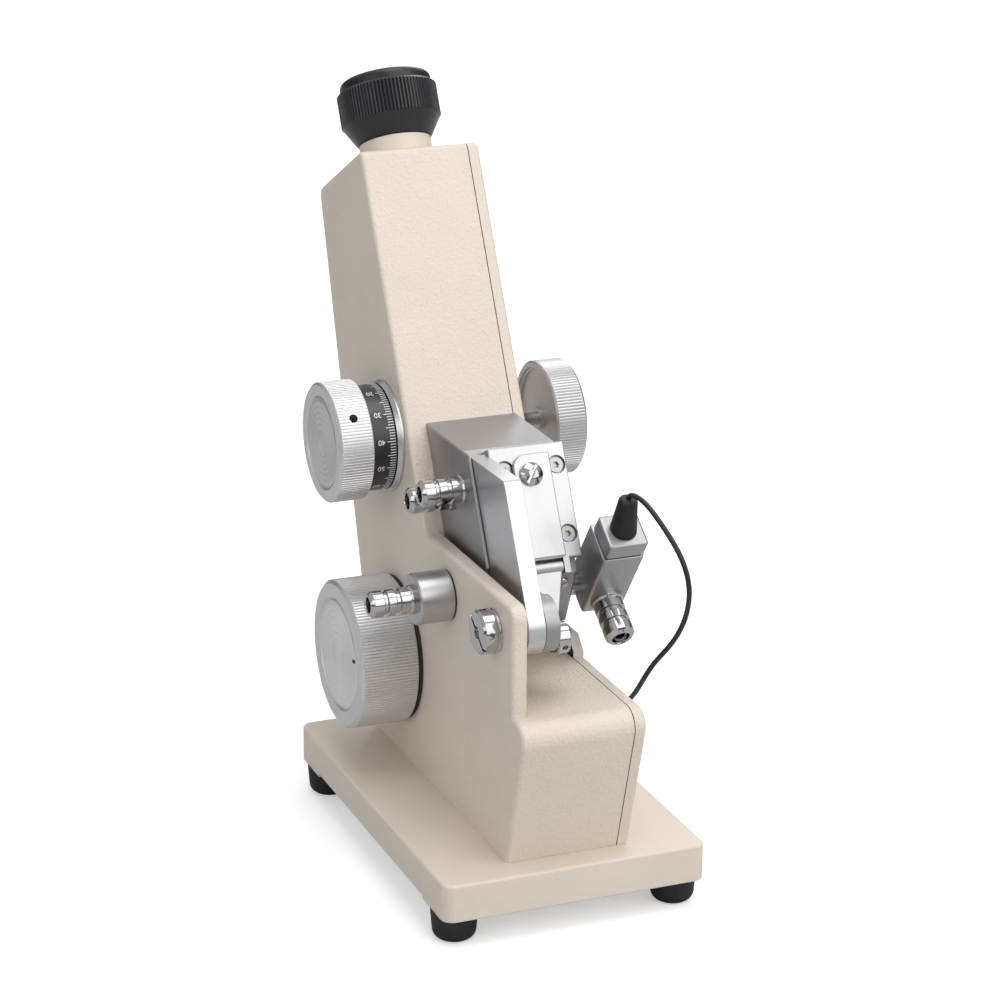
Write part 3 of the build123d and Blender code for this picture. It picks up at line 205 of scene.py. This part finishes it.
def hammer_paint(name, grain, strength, rough, parting=False):
    """Sprayed ivory enamel with a pebbled skin; parting adds painted shade along the parting
    line.
    """
    m = Mat(name)
    pebble = m.voronoi(grain)
    fine = m.noise(grain * 2.3, detail=3.0, rough=0.6)
    broad = m.noise(grain * 0.35)
    small = m.calc("ADD", m.calc("MULTIPLY", fine, 0.45), m.calc("MULTIPLY", broad, 0.35))
    height = m.calc("ADD", m.calc("MULTIPLY", pebble, 0.75), small)

    tone = m.ramp(m.noise(38.0, detail=3.0), low=0.3, high=0.7)
    color = m.mix(tone, shade(IVORY, 0.975), shade(IVORY, 1.02))
    specks = m.calc("MULTIPLY", m.ramp(fine, low=0.45, high=0.75), 0.10)
    color = m.mix(specks, color, shade(IVORY, 0.80))
    color = m.dust(color, amount=0.05, dust_color=(0.72, 0.70, 0.66))
    if parting:
        # painted shade: the parting line between housing and cover is painted near-black,
        # standing in for the shadow inside its gap
        x = m.geometry("Position", 0)
        seam_shade = m.calc("MULTIPLY", m.calc("GREATER_THAN", x, SEAM_START_X),
                      m.calc("LESS_THAN", x, SEAM_END_X))
        color = m.mix(seam_shade, color, (0.02, 0.018, 0.016))
    gloss = m.ramp(m.noise(900), low=0.3, high=0.7, to_low=rough - 0.05, to_high=rough + 0.07)
    m.set(color=color, rough=gloss, coat=0.08, coat_rough=0.35)
    m.round_edges(0.0005)
    m.bump(height, strength, distance=0.00030)
    return m.done()


def satin_metal(name, color, rough, stretch=None, turn=(0, 0, 0), grain=2200.0,
                strength=0.12, radius=0.00015, aniso=0.0, wear=0.04):
    """Machined or anodised metal; stretch draws the grain out into brush lines."""
    m = Mat(name)
    fine = m.noise(grain, detail=4.0, rough=0.65,
                   vector=m.mapped(stretch, turn) if stretch else None)
    smear = m.noise(60.0, detail=3.0, rough=0.55)
    worn = m.mix(m.ramp(fine, low=0.25, high=0.8),
                 shade(color, 1 - wear * 2.2), shade(color, 1 + wear))
    stain = m.calc("MULTIPLY", m.ramp(smear, low=0.45, high=0.8), 0.16)
    texture = m.calc("ADD", m.calc("MULTIPLY", fine, 0.6), m.calc("MULTIPLY", smear, 0.4))
    m.set(color=m.mix(stain, worn, shade(color, 0.82)), metal=1.0, aniso=aniso,
          rough=m.ramp(texture, low=0.3, high=0.75, to_low=rough * 0.78, to_high=rough * 1.25))
    if radius:
        m.round_edges(radius)
    m.bump(fine, strength, distance=0.00004)
    return m.done()


def spun_metal(name, color, rough, centre, pitch=0.00022, strength=0.25):
    """Turned metal: fine rings about an X axis, with fan-shaped highlights."""
    m = Mat(name)
    offset = m.vector_calc("SUBTRACT", m.coords, centre)
    around = m.vector_calc("CROSS_PRODUCT", offset, X_AXIS)
    ring_noise = m.node("TexNoise", noise_dimensions="1D")
    m.put(ring_noise.inputs["Scale"], 1.0 / pitch)
    m.put(ring_noise.inputs["Detail"], 5.0)
    m.put(ring_noise.inputs["Roughness"], 0.7)
    m.put(ring_noise.inputs["W"], m.vector_calc("LENGTH", around))
    rings = ring_noise.outputs["Fac"]
    smear = m.noise(70.0, detail=3.0)
    m.set(color=m.mix(m.ramp(rings, low=0.3, high=0.7), shade(color, 0.90), color),
          rough=m.ramp(smear, low=0.3, high=0.7, to_low=rough * 0.85, to_high=rough * 1.2),
          metal=1.0, aniso=0.55, tangent=m.vector_calc("NORMALIZE", around))
    m.round_edges(0.00012)
    m.bump(rings, strength, distance=0.00003)
    return m.done()


def plastic(name, color, rough, grain, strength, radius=0.0002, coat=0.0):
    """Dull moulded, rubber or lacquered surface."""
    m = Mat(name)
    fine = m.noise(grain, detail=3.0, rough=0.6)
    smear = m.noise(85.0, detail=3.0)
    mottled = m.mix(m.ramp(fine, low=0.3, high=0.8), color, shade(color, 1.5, lift=0.004))
    m.set(color=m.dust(mottled, amount=0.10, dust_color=(0.25, 0.245, 0.24)),
          rough=m.ramp(smear, low=0.3, high=0.75, to_low=rough * 0.85,
                       to_high=min(1, rough * 1.2)),
          coat=coat, coat_rough=0.3)
    if radius:
        m.round_edges(radius)
    m.bump(fine, strength, distance=0.00005)
    return m.done()


def glass(name, color, rough=0.01, grain=None, film=None):
    """Clear glass, or ground glass where a grain is given; film tints a thin coating."""
    m = Mat(name)
    m.set(color=color, rough=rough, trans=1.0, ior=1.52)
    if grain:
        frost = m.noise(grain, detail=4.0, rough=0.7)
        m.set(rough=m.ramp(frost, low=0.3, high=0.7, to_low=rough * 0.8, to_high=rough * 1.2))
        m.bump(frost, strength=0.35, distance=0.00004)
    else:
        m.set(rough=m.ramp(m.noise(140.0), low=0.4, high=0.8, to_low=rough,
                           to_high=rough + 0.03))
    if film:
        m.set(coat=0.5, coat_tint=film)
    return m.done()


MATERIALS = {
    "ivory": hammer_paint("ivory_hammer_enamel", grain=980.0, strength=1.0, rough=0.40,
                          parting=True),
    "ivory_fine": hammer_paint("ivory_fine_enamel", grain=1250.0, strength=0.38, rough=0.50),
    "neck": hammer_paint("ivory_neck_enamel", grain=1500.0, strength=0.15, rough=0.42),
    "rubber": plastic("black_rubber", (0.009, 0.008, 0.010), rough=0.58, grain=1500,
                      strength=0.35),
    "steel": satin_metal("zinc_steel", (0.46, 0.45, 0.43), rough=0.33, wear=0.06),
    "chrome": satin_metal("nickel_plate", (0.56, 0.55, 0.56), rough=0.10, grain=900,
                          strength=0.03, wear=0.02, radius=0.00025),
    "knob": satin_metal("anodised_knob", (0.80, 0.80, 0.81), rough=0.42, grain=3000,
                        strength=0.20, radius=0.00012),
    "boss": spun_metal("turned_boss", (0.60, 0.60, 0.61), rough=0.24, centre=DISPERSION),
    "hose_boss": satin_metal("turned_hose_boss", (0.54, 0.54, 0.55), rough=0.34,
                             stretch=(1, 0.08, 0.08), grain=2600, strength=0.22),
    "block": satin_metal("blasted_aluminium", (0.42, 0.415, 0.42), rough=0.44, grain=3400,
                         strength=0.30, radius=0.0003),
    "jaw": satin_metal("brushed_jaw", (0.60, 0.60, 0.615), rough=0.38,
                       stretch=(1.0, 0.05, 0.05), grain=2600, strength=0.16,
                       radius=0.0002, aniso=0.3),
    "arm": satin_metal("bright_arm", (0.66, 0.66, 0.68), rough=0.34,
                       stretch=(0.06, 1.0, 0.06), strength=0.20, radius=0.0003),
    "sensor": satin_metal("brushed_probe", (0.45, 0.45, 0.46), rough=0.38,
                          stretch=(0.08, 1.0, 0.08), turn=(COLUMN_LEAN, 0, 0),
                          grain=2600, strength=0.25, radius=0.0003),
    "drum": plastic("drum_black", (0.016, 0.014, 0.02), rough=0.33, grain=2600,
                    strength=0.10, radius=0.00015, coat=0.25),
    "white": plastic("white_fill", (0.82, 0.82, 0.80), rough=0.55, grain=3000,
                     strength=0.05, radius=0.0),
    "eyepiece": plastic("eyepiece_black", (0.009, 0.008, 0.011), rough=0.30, grain=2400,
                        strength=0.12, coat=0.15),
    "cup": plastic("eye_cup_black", (0.011, 0.010, 0.013), rough=0.36, grain=1700,
                   strength=0.20),
    "black_metal": plastic("black_anodised", (0.02, 0.02, 0.021), rough=0.38, grain=2600,
                           strength=0.12),
    # partly painted shade: this near-black also colours the measuring washer, a ring standing in
    # for the shadow gap beside the measuring knob's knurl
    "gasket": plastic("black_gasket_and_gap_shade", (0.02, 0.02, 0.02), rough=0.70, grain=1300,
                      strength=0.3),
    "cable": plastic("cable_jacket", (0.008, 0.008, 0.009), rough=0.40, grain=1200,
                     strength=0.12, radius=0.0, coat=0.2),
    "brass": satin_metal("machined_brass", (0.78, 0.60, 0.30), rough=0.27, wear=0.05),
    "lens": glass("coated_lens", (0.96, 0.98, 1.0), film=(0.75, 0.6, 1.0)),
    "prism": glass("prism_glass", (0.97, 0.99, 0.98)),
    "ground": glass("ground_glass", (0.95, 0.97, 0.96), rough=0.45, grain=2600.0),
    "mirror": satin_metal("mirror_silver", (0.93, 0.93, 0.93), rough=0.03, grain=400,
                          strength=0.0, wear=0.01, radius=0.0),
    "knob_inlay": spun_metal("spun_inlay_dispersion", (0.76, 0.75, 0.75), rough=0.40,
                             centre=DISPERSION, pitch=0.00030, strength=0.30),
    "knob_inlay2": spun_metal("spun_inlay_measuring", (0.95, 0.94, 0.94), rough=0.44,
                              centre=MEASURING, pitch=0.00030, strength=0.30),
    "wheel_rim": satin_metal("anodised_wheel", (0.60, 0.60, 0.61), rough=0.36, grain=3000,
                             strength=0.20, radius=0.00012),
    "wheel": spun_metal("spun_wheel", (0.58, 0.58, 0.59), rough=0.28, centre=DISPERSION,
                        pitch=0.00020, strength=0.35),
    "dark": plastic("recess_black", (0.010, 0.010, 0.010), rough=0.6, grain=1200,
                    strength=0.1, radius=0.0),
}

# material: the CAD pieces that wear it
PIECES = {
    "ivory": "main_housing side_cover",
    "ivory_fine": "base_plate",
    "neck": "eyepiece_neck",
    "rubber": "rubber_feet strain_relief cable_grommet",
    "steel": "foot_screws frame_screws measuring_shaft sector_shaft dispersion_shaft "
             "plate_screws flap_pin",
    "chrome": "cover_screws hose_nozzles bleed_screw hinge_pin lug_screw sensor_stem "
              "wheel_shaft strap_screw",
    "knob": "measuring_knob dispersion_knob",
    "boss": "dispersion_boss",
    "hose_boss": "hose_boss",
    "block": "prism_block",
    "jaw": "front_plate strap_plate light_flap",
    "arm": "jaw_body",
    "sensor": "sensor_block sensor_cap",
    "drum": "scale_drum",
    "eyepiece": "eyepiece_grip",
    "cup": "eye_cup",
    "black_metal": "telescope_tube compensator_tube knob_set_screw eyepiece_barrel",
    # the measuring washer is partly painted shade, a black ring standing in for the shadow gap
    # beside the knurl
    "gasket": "measuring_washer boss_gasket lug_washer",
    "cable": "sensor_cable",
    "brass": "shaft_bushes measuring_pinion sector_gear amici_cell_upper amici_cell_lower",
    "lens": "telescope_lenses eye_lens field_lens",
    "prism": "measuring_prism amici_prism_upper amici_prism_lower",
    "ground": "scale_window scale_glass illumination_prism",
    "mirror": "scan_mirror",
    "wheel_rim": "right_wheel",
}
MATERIAL_OF = {piece: key for key, pieces in PIECES.items() for piece in pieces.split()}


# ------------------------------------------------------------------ mesh helpers
def smooth_with_split(ob, degrees):
    """Smooth shading, broken at edges sharper than the given angle."""
    ob.data.polygons.foreach_set("use_smooth", [True] * len(ob.data.polygons))
    ob.modifiers.new("split", "EDGE_SPLIT").split_angle = math.radians(degrees)


def dress_cad_piece(name, ob):
    """Give a CAD piece its material and clean smooth shading."""
    mesh = ob.data
    mesh.materials.clear()
    mesh.materials.append(MATERIALS[MATERIAL_OF[name]])
    for attribute in ("custom_normal", "sharp_edge", "sharp_face"):
        if attribute in mesh.attributes:
            mesh.attributes.remove(mesh.attributes[attribute])
    mesh.polygons.foreach_set("material_index", [0] * len(mesh.polygons))
    ob.modifiers.new("weld", "WELD").merge_threshold = 2e-6
    smooth_with_split(ob, degrees=24)
    mesh.update()


def add_mesh(name, verts, faces, material, body, smooth=False):
    mesh = bpy.data.meshes.new(name)
    mesh.from_pydata([tuple(vert) for vert in verts], [], faces)
    mesh.update()
    ob = bpy.data.objects.new(name, mesh)
    bpy.context.scene.collection.objects.link(ob)
    mesh.materials.append(MATERIALS[material])
    if smooth:
        smooth_with_split(ob, degrees=30)
    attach(ob, body)


def lathe(name, profile, centre, material, body, segments):
    """Closed (distance along +X, radius) profile turned about the X axis through centre."""
    side = X_AXIS.orthogonal().normalized()
    other = X_AXIS.cross(side)
    verts, faces = [], []
    count = len(profile)
    for i in range(segments):
        angle = 2 * math.pi * i / segments
        outward = side * math.cos(angle) + other * math.sin(angle)
        for x, radius in profile:
            verts.append(centre + X_AXIS * x + outward * max(radius, 1e-7))
    for i in range(segments):
        j = (i + 1) % segments
        for this in range(count):
            after = (this + 1) % count
            faces.append((i * count + this, j * count + this,
                          j * count + after, i * count + after))
    add_mesh(name, verts, faces, material, body, smooth=True)


def mark_corners(levels, near, far, place):
    """Eight corners of one mark from place(level, along, side), where side is -1 or +1."""
    outline = ((near, -1), (near, 1), (far, 1), (far, -1))
    return [place(level, along, side) for level in levels for along, side in outline]


def add_marks(name, verts, material, body):
    """One mesh of separate boxes, eight corners each."""
    box = ((0, 3, 2, 1), (4, 5, 6, 7), (0, 1, 5, 4), (1, 2, 6, 5), (2, 3, 7, 6), (3, 0, 4, 7))
    faces = [tuple(start + corner for corner in face)
             for start in range(0, len(verts), 8) for face in box]
    add_mesh(name, verts, faces, material, body)


# ------------------------------------------------------------------ graduated drum
DRUM_LO, DRUM_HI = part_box("scale_drum")
DRUM_RADIUS = (DRUM_HI.z - DRUM_LO.z) / 2
DRUM_EDGE_X = DRUM_HI.x - 0.00035           # where the graduations start
DRUM_ZERO = math.radians(11.4 + 30.0 * 4)   # where the first 0 sits
DRUM_MARK_HALF_WIDTH = 0.00013
DRUM_MARK_PROUD = 0.00004
DRUM_MARK_SUNK = 0.0001
DRUM_LONG_MARK, DRUM_SHORT_MARK = 0.0033, 0.0022
LABEL_SIZE = 0.0029
LABEL_OFFSET = 0.0041                       # from the graduations' outer ends


def drum_point(x, angle, radius):
    """angle is measured upward from straight ahead (-Y)."""
    return Vector((x, DISPERSION.y - radius * math.cos(angle),
                   DISPERSION.z + radius * math.sin(angle)))


def drum_graduations():
    """0 to 60 over half a turn, then back down to 0."""
    levels = (DRUM_RADIUS - DRUM_MARK_SUNK, DRUM_RADIUS + DRUM_MARK_PROUD)
    half_angle = DRUM_MARK_HALF_WIDTH / DRUM_RADIUS
    verts = []
    for k in range(120):
        angle = DRUM_ZERO - math.radians(3.0 * k)
        length = DRUM_LONG_MARK if k % 5 == 0 else DRUM_SHORT_MARK
        verts += mark_corners(levels, DRUM_EDGE_X, DRUM_EDGE_X - length,
                              lambda radius, x, side:
                              drum_point(x, angle + side * half_angle, radius))
    add_marks("drum_graduations", verts, "white", "dispersion_drive")


def text_mesh(text, size):
    """Points and triangles of flat text, left-aligned and centred in height."""
    curve = bpy.data.curves.new("t", "FONT")
    curve.body = text
    curve.size = size
    curve.align_x = "LEFT"
    curve.align_y = "CENTER"
    curve.resolution_u = 6
    ob = bpy.data.objects.new("t", curve)
    bpy.context.scene.collection.objects.link(ob)
    bpy.context.view_layer.update()
    depsgraph = bpy.context.evaluated_depsgraph_get()
    mesh = bpy.data.meshes.new_from_object(ob.evaluated_get(depsgraph))
    bpy.data.objects.remove(ob)
    bm = bmesh.new()
    bm.from_mesh(mesh)
    bmesh.ops.triangulate(bm, faces=bm.faces[:])
    points = [vert.co.copy() for vert in bm.verts]
    bm.verts.index_update()
    triangles = [tuple(vert.index for vert in face.verts) for face in bm.faces]
    bm.free()
    return points, triangles


def drum_numbers():
    """Numbers read away from the graduations, with their tops facing round the drum."""
    verts, faces = [], []
    for k in range(12):
        value = (k if k <= 6 else 12 - k) * 10
        points, triangles = text_mesh(str(value), LABEL_SIZE)
        angle = DRUM_ZERO - math.radians(30.0 * k)
        start = len(verts)
        for point in points:
            verts.append(drum_point(DRUM_EDGE_X - LABEL_OFFSET - point.x,
                                    angle - point.y / DRUM_RADIUS,
                                    DRUM_RADIUS + DRUM_MARK_PROUD))
        faces += [tuple(index + start for index in triangle) for triangle in triangles]
    add_mesh("drum_numbers", verts, faces, "white", "dispersion_drive")


# ------------------------------------------------------------------ knob faces
INLAY_SUNK = 0.0001             # back of the disc, behind the recess floor
INLAY_TOP_DEPTH = 0.00015       # front of the disc, below the knob's end face
GROOVE_COUNT = 5
GROOVE_FIRST, GROOVE_PITCH = 0.30, 0.13     # shares of the disc radius
GROOVE_HALF_WIDTH = 0.00030
GROOVE_FLOOR_HALF_WIDTH = 0.00012
GROOVE_DEPTH = 0.00006
# (distance in from the disc's edge, height above its front)
INLAY_RIM = ((0.0011, 0.0), (0.0008, -0.00015), (0.0006, -0.00015), (0.0004, 0.0001),
             (0.0, -0.0002))


def inlay(node, centre, out, material, body, share, floor_depth):
    """Grooved disc in a knob's end face; out is the face's X direction, -1 or +1."""
    lo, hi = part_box(node)
    radius = (hi.z - lo.z) / 2 * share
    face_x = lo.x if out < 0 else hi.x
    top = floor_depth - INLAY_TOP_DEPTH
    # (height out from the recess floor, radius)
    profile = [(-INLAY_SUNK, 0.0), (top, 0.0)]
    for i in range(GROOVE_COUNT):
        middle = radius * (GROOVE_FIRST + GROOVE_PITCH * i)
        profile += [(top, middle - GROOVE_HALF_WIDTH),
                    (top - GROOVE_DEPTH, middle - GROOVE_FLOOR_HALF_WIDTH),
                    (top - GROOVE_DEPTH, middle + GROOVE_FLOOR_HALF_WIDTH),
                    (top, middle + GROOVE_HALF_WIDTH)]
    profile += [(top + height, radius - inset) for inset, height in INLAY_RIM]
    profile.append((-INLAY_SUNK, radius))
    lathe(node + "_inlay", [(out * height, ring) for height, ring in profile],
          Vector((face_x - out * floor_depth, centre.y, centre.z)),
          material, body, segments=192)


INDEX_ANGLE = math.radians(168)         # from +Y towards +Z
INDEX_INNER, INDEX_OUTER = 0.615, 0.70  # shares of the knob radius
INDEX_HALF_WIDTH = 0.0006
INDEX_LEVELS = (0.0002, -0.00012)       # X offsets from the face: sunk, proud


def measuring_index_mark():
    """Radial mark near the rim of the measuring knob's face."""
    lo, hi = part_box("measuring_knob")
    knob_radius = (hi.z - lo.z) / 2
    radial = Vector((0, math.cos(INDEX_ANGLE), math.sin(INDEX_ANGLE)))
    tangent = Vector((0, -math.sin(INDEX_ANGLE), math.cos(INDEX_ANGLE)))
    centre = Vector((lo.x, MEASURING.y, MEASURING.z))
    verts = mark_corners(INDEX_LEVELS, INDEX_INNER, INDEX_OUTER,
                         lambda x, share, side:
                         centre + Vector((x, 0, 0)) + radial * (knob_radius * share)
                         + tangent * (side * INDEX_HALF_WIDTH))
    add_marks("measuring_index_mark", verts, "dark", "measuring_drive")


# ------------------------------------------------------------------ glass sector scale
GLASS_MARK_OUTER_RADIUS = 0.0258
GLASS_MARK_LENGTHS = (0.0026, 0.0018, 0.0011)   # every tenth, every fifth, the rest
GLASS_MARK_HALF_ANGLE = 0.000035 / 0.025        # half width over radius
GLASS_MARK_STEP = 0.4                           # degrees
GLASS_MARK_SUNK, GLASS_MARK_PROUD = 0.00001, 0.00002


def glass_graduations():
    """Fine arc of marks on the +X face, centred towards the measuring shaft."""
    glass_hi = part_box("scale_glass")[1]
    levels = (glass_hi.x - GLASS_MARK_SUNK, glass_hi.x + GLASS_MARK_PROUD)
    middle = math.atan2(MEASURING.z - SECTOR.z, MEASURING.y - SECTOR.y)
    tenth, fifth, single = GLASS_MARK_LENGTHS

    def place(x, radius, side):
        turned = angle + side * GLASS_MARK_HALF_ANGLE
        return Vector((x, SECTOR.y + radius * math.cos(turned),
                       SECTOR.z + radius * math.sin(turned)))

    verts = []
    for k in range(-60, 61):
        angle = middle + math.radians(k * GLASS_MARK_STEP)
        length = tenth if k % 10 == 0 else fifth if k % 5 == 0 else single
        verts += mark_corners(levels, GLASS_MARK_OUTER_RADIUS - length,
                              GLASS_MARK_OUTER_RADIUS, place)
    add_marks("glass_graduations", verts, "dark", "scale_sector")


# ------------------------------------------------------------------ stage
FLOOR_SIZE = 14
FLOOR_BOUNCE = 0.55     # grey that every ray but the camera's meets


def aim(location, target):
    return (Vector(target) - Vector(location)).to_track_quat("-Z", "Y").to_euler()


def add_floor():
    """Bright paper to the camera, plain grey to all other rays."""
    bpy.ops.mesh.primitive_plane_add(size=FLOOR_SIZE, location=(0, 0, 0))
    floor = bpy.context.object
    floor.name = "floor"
    m = Mat("floor_paper")
    tone = m.ramp(m.noise(2.0), low=0.3, high=0.7)
    m.set(color=m.mix(tone, (0.90, 0.90, 0.90), (0.92, 0.92, 0.92)), rough=0.8, spec=0.2,
          glow=(1, 1, 1), glow_strength=0.40)
    m.bump(m.noise(500.0, detail=3.0), strength=0.05, distance=0.0001)
    camera_ray = m.node("LightPath").outputs["Is Camera Ray"]
    bounce = m.node("BsdfDiffuse")
    m.put(bounce.inputs[0], (FLOOR_BOUNCE,) * 3)
    m.put(m.out.inputs[0], mix_shader(m.tree, camera_ray, bounce.outputs[0],
                                      m.bsdf.outputs[0]))
    floor.data.materials.append(m.done())


def flag(name, location, size, target, grey):
    """Dark card that only reflections see, for contrast in the polished metal."""
    bpy.ops.mesh.primitive_plane_add(size=1, location=location)
    ob = bpy.context.object
    ob.name = name
    ob.scale = (*size, 1)
    ob.rotation_euler = aim(location, target)
    m = Mat("m_" + name)
    m.set(color=(grey,) * 3, rough=0.9)
    ob.data.materials.append(m.done())
    ob.visible_camera = False
    ob.visible_diffuse = False
    ob.visible_shadow = False
    ob.visible_transmission = False


def area(name, location, target, size, energy, color=(1, 1, 1)):
    light = bpy.data.lights.new(name, "AREA")
    light.shape = "RECTANGLE"
    light.size, light.size_y = size
    light.energy = energy
    light.color = color
    ob = bpy.data.objects.new(name, light)
    bpy.context.scene.collection.objects.link(ob)
    ob.location = location
    ob.rotation_euler = aim(location, target)


# (height of the ray, 0 horizon and 1 zenith; RGBA)
REFLECTED_SKY = (
    (0.0, (0.10, 0.10, 0.105, 1)),
    (0.22, (0.16, 0.16, 0.165, 1)),
    (0.50, (0.62, 0.62, 0.63, 1)),
    (1.0, (0.55, 0.56, 0.58, 1)),
)


def add_world():
    """White to the camera, a vertical gradient to glossy rays, pale blue-grey to the rest."""
    world = bpy.data.worlds.new("studio")
    bpy.context.scene.world = world
    world.use_nodes = True
    tree = world.node_tree
    tree.nodes.clear()

    def background(strength, color=None):
        node = add_node(tree, "Background")
        if color:
            node.inputs[0].default_value = color
        node.inputs[1].default_value = strength
        return node

    output = add_node(tree, "OutputWorld")
    rays = add_node(tree, "LightPath").outputs
    ambient = background(0.56, (0.93, 0.945, 0.97, 1))
    backdrop = background(1.05, (1, 1, 1, 1))
    reflected = background(0.9)

    direction = add_node(tree, "TexCoord").outputs["Generated"]
    split = add_node(tree, "SeparateXYZ")
    tree.links.new(direction, split.inputs[0])
    gradient = add_node(tree, "ValToRGB")
    stops = gradient.color_ramp.elements
    for stop, (position, color) in zip(stops, (REFLECTED_SKY[0], REFLECTED_SKY[-1])):
        stop.position = position
        stop.color = color
    for position, color in REFLECTED_SKY[1:-1]:
        stops.new(position).color = color
    tree.links.new(split.outputs[2], gradient.inputs[0])
    tree.links.new(gradient.outputs[0], reflected.inputs[0])

    unseen = mix_shader(tree, rays["Is Glossy Ray"], ambient.outputs[0], reflected.outputs[0])
    surface = mix_shader(tree, rays["Is Camera Ray"], unseen, backdrop.outputs[0])
    tree.links.new(surface, output.inputs[0])


# ------------------------------------------------------------------ camera
CAMERA_PLACE = (-0.40328, -0.99646, 0.50277)
CAMERA_AZIMUTH = math.radians(-22.0967)     # from -Y towards +X
CAMERA_ELEVATION = math.radians(18.8152)
CAMERA_ROLL = math.radians(0.4152)
SENSOR_MM, LENS_MM = 36.0, 112.17564


def add_camera():
    back = Vector((math.sin(CAMERA_AZIMUTH) * math.cos(CAMERA_ELEVATION),
                   -math.cos(CAMERA_AZIMUTH) * math.cos(CAMERA_ELEVATION),
                   math.sin(CAMERA_ELEVATION)))
    forward = -back
    right = forward.cross(Vector((0, 0, 1))).normalized()
    up = right.cross(forward)
    camera_x = right * math.cos(CAMERA_ROLL) + up * math.sin(CAMERA_ROLL)
    camera_y = up * math.cos(CAMERA_ROLL) - right * math.sin(CAMERA_ROLL)
    camera = bpy.data.cameras.new("camera")
    camera.sensor_width = SENSOR_MM
    camera.lens = LENS_MM
    camera.clip_start, camera.clip_end = 0.05, 50.0
    ob = bpy.data.objects.new("camera", camera)
    bpy.context.scene.collection.objects.link(ob)
    pose = Matrix((camera_x, camera_y, back)).transposed().to_4x4()
    pose.translation = Vector(CAMERA_PLACE)
    ob.matrix_world = pose
    bpy.context.scene.camera = ob


# ------------------------------------------------------------------ build
for name, ob in NODES.items():
    dress_cad_piece(name, ob)

drum_graduations()
drum_numbers()
inlay("dispersion_knob", DISPERSION, out=-1, material="knob_inlay",
      body="dispersion_drive", share=0.75, floor_depth=0.0009)
inlay("measuring_knob", MEASURING, out=-1, material="knob_inlay2",
      body="measuring_drive", share=0.735, floor_depth=0.0008)
inlay("right_wheel", DISPERSION, out=1, material="wheel",
      body="wheel_drive", share=0.75, floor_depth=0.0009)
measuring_index_mark()
glass_graduations()

add_floor()
flag("flag_left", (-1.5, 0.55, 0.20), size=(0.5, 0.35), target=(0, 0, 0.15), grey=0.02)
flag("flag_low", (-0.5, -1.4, 0.02), size=(1.2, 0.18), target=(0, 0, 0.12), grey=0.03)
flag("flag_right", (1.4, -0.1, 0.25), size=(0.7, 0.45), target=(0, 0, 0.15), grey=0.03)
area("key", (0.95, -1.55, 1.15), target=(0, 0, 0.12), size=(2.2, 1.9), energy=19.0,
     color=(1.0, 0.985, 0.965))
area("top", (0.2, -0.2, 1.8), target=(0, 0, 0.1), size=(1.3, 1.2), energy=12.0)
area("left_fill", (-1.6, -0.9, 0.9), target=(0, 0, 0.12), size=(1.1, 1.0), energy=4.2,
     color=(0.98, 0.985, 1.0))
area("rim", (0.9, 1.3, 1.0), target=(0, 0, 0.15), size=(0.8, 0.8), energy=4.0)
add_world()
view = bpy.context.scene.view_settings
view.view_transform = "Standard"
view.look = "None"
view.exposure = 0.0
add_camera()
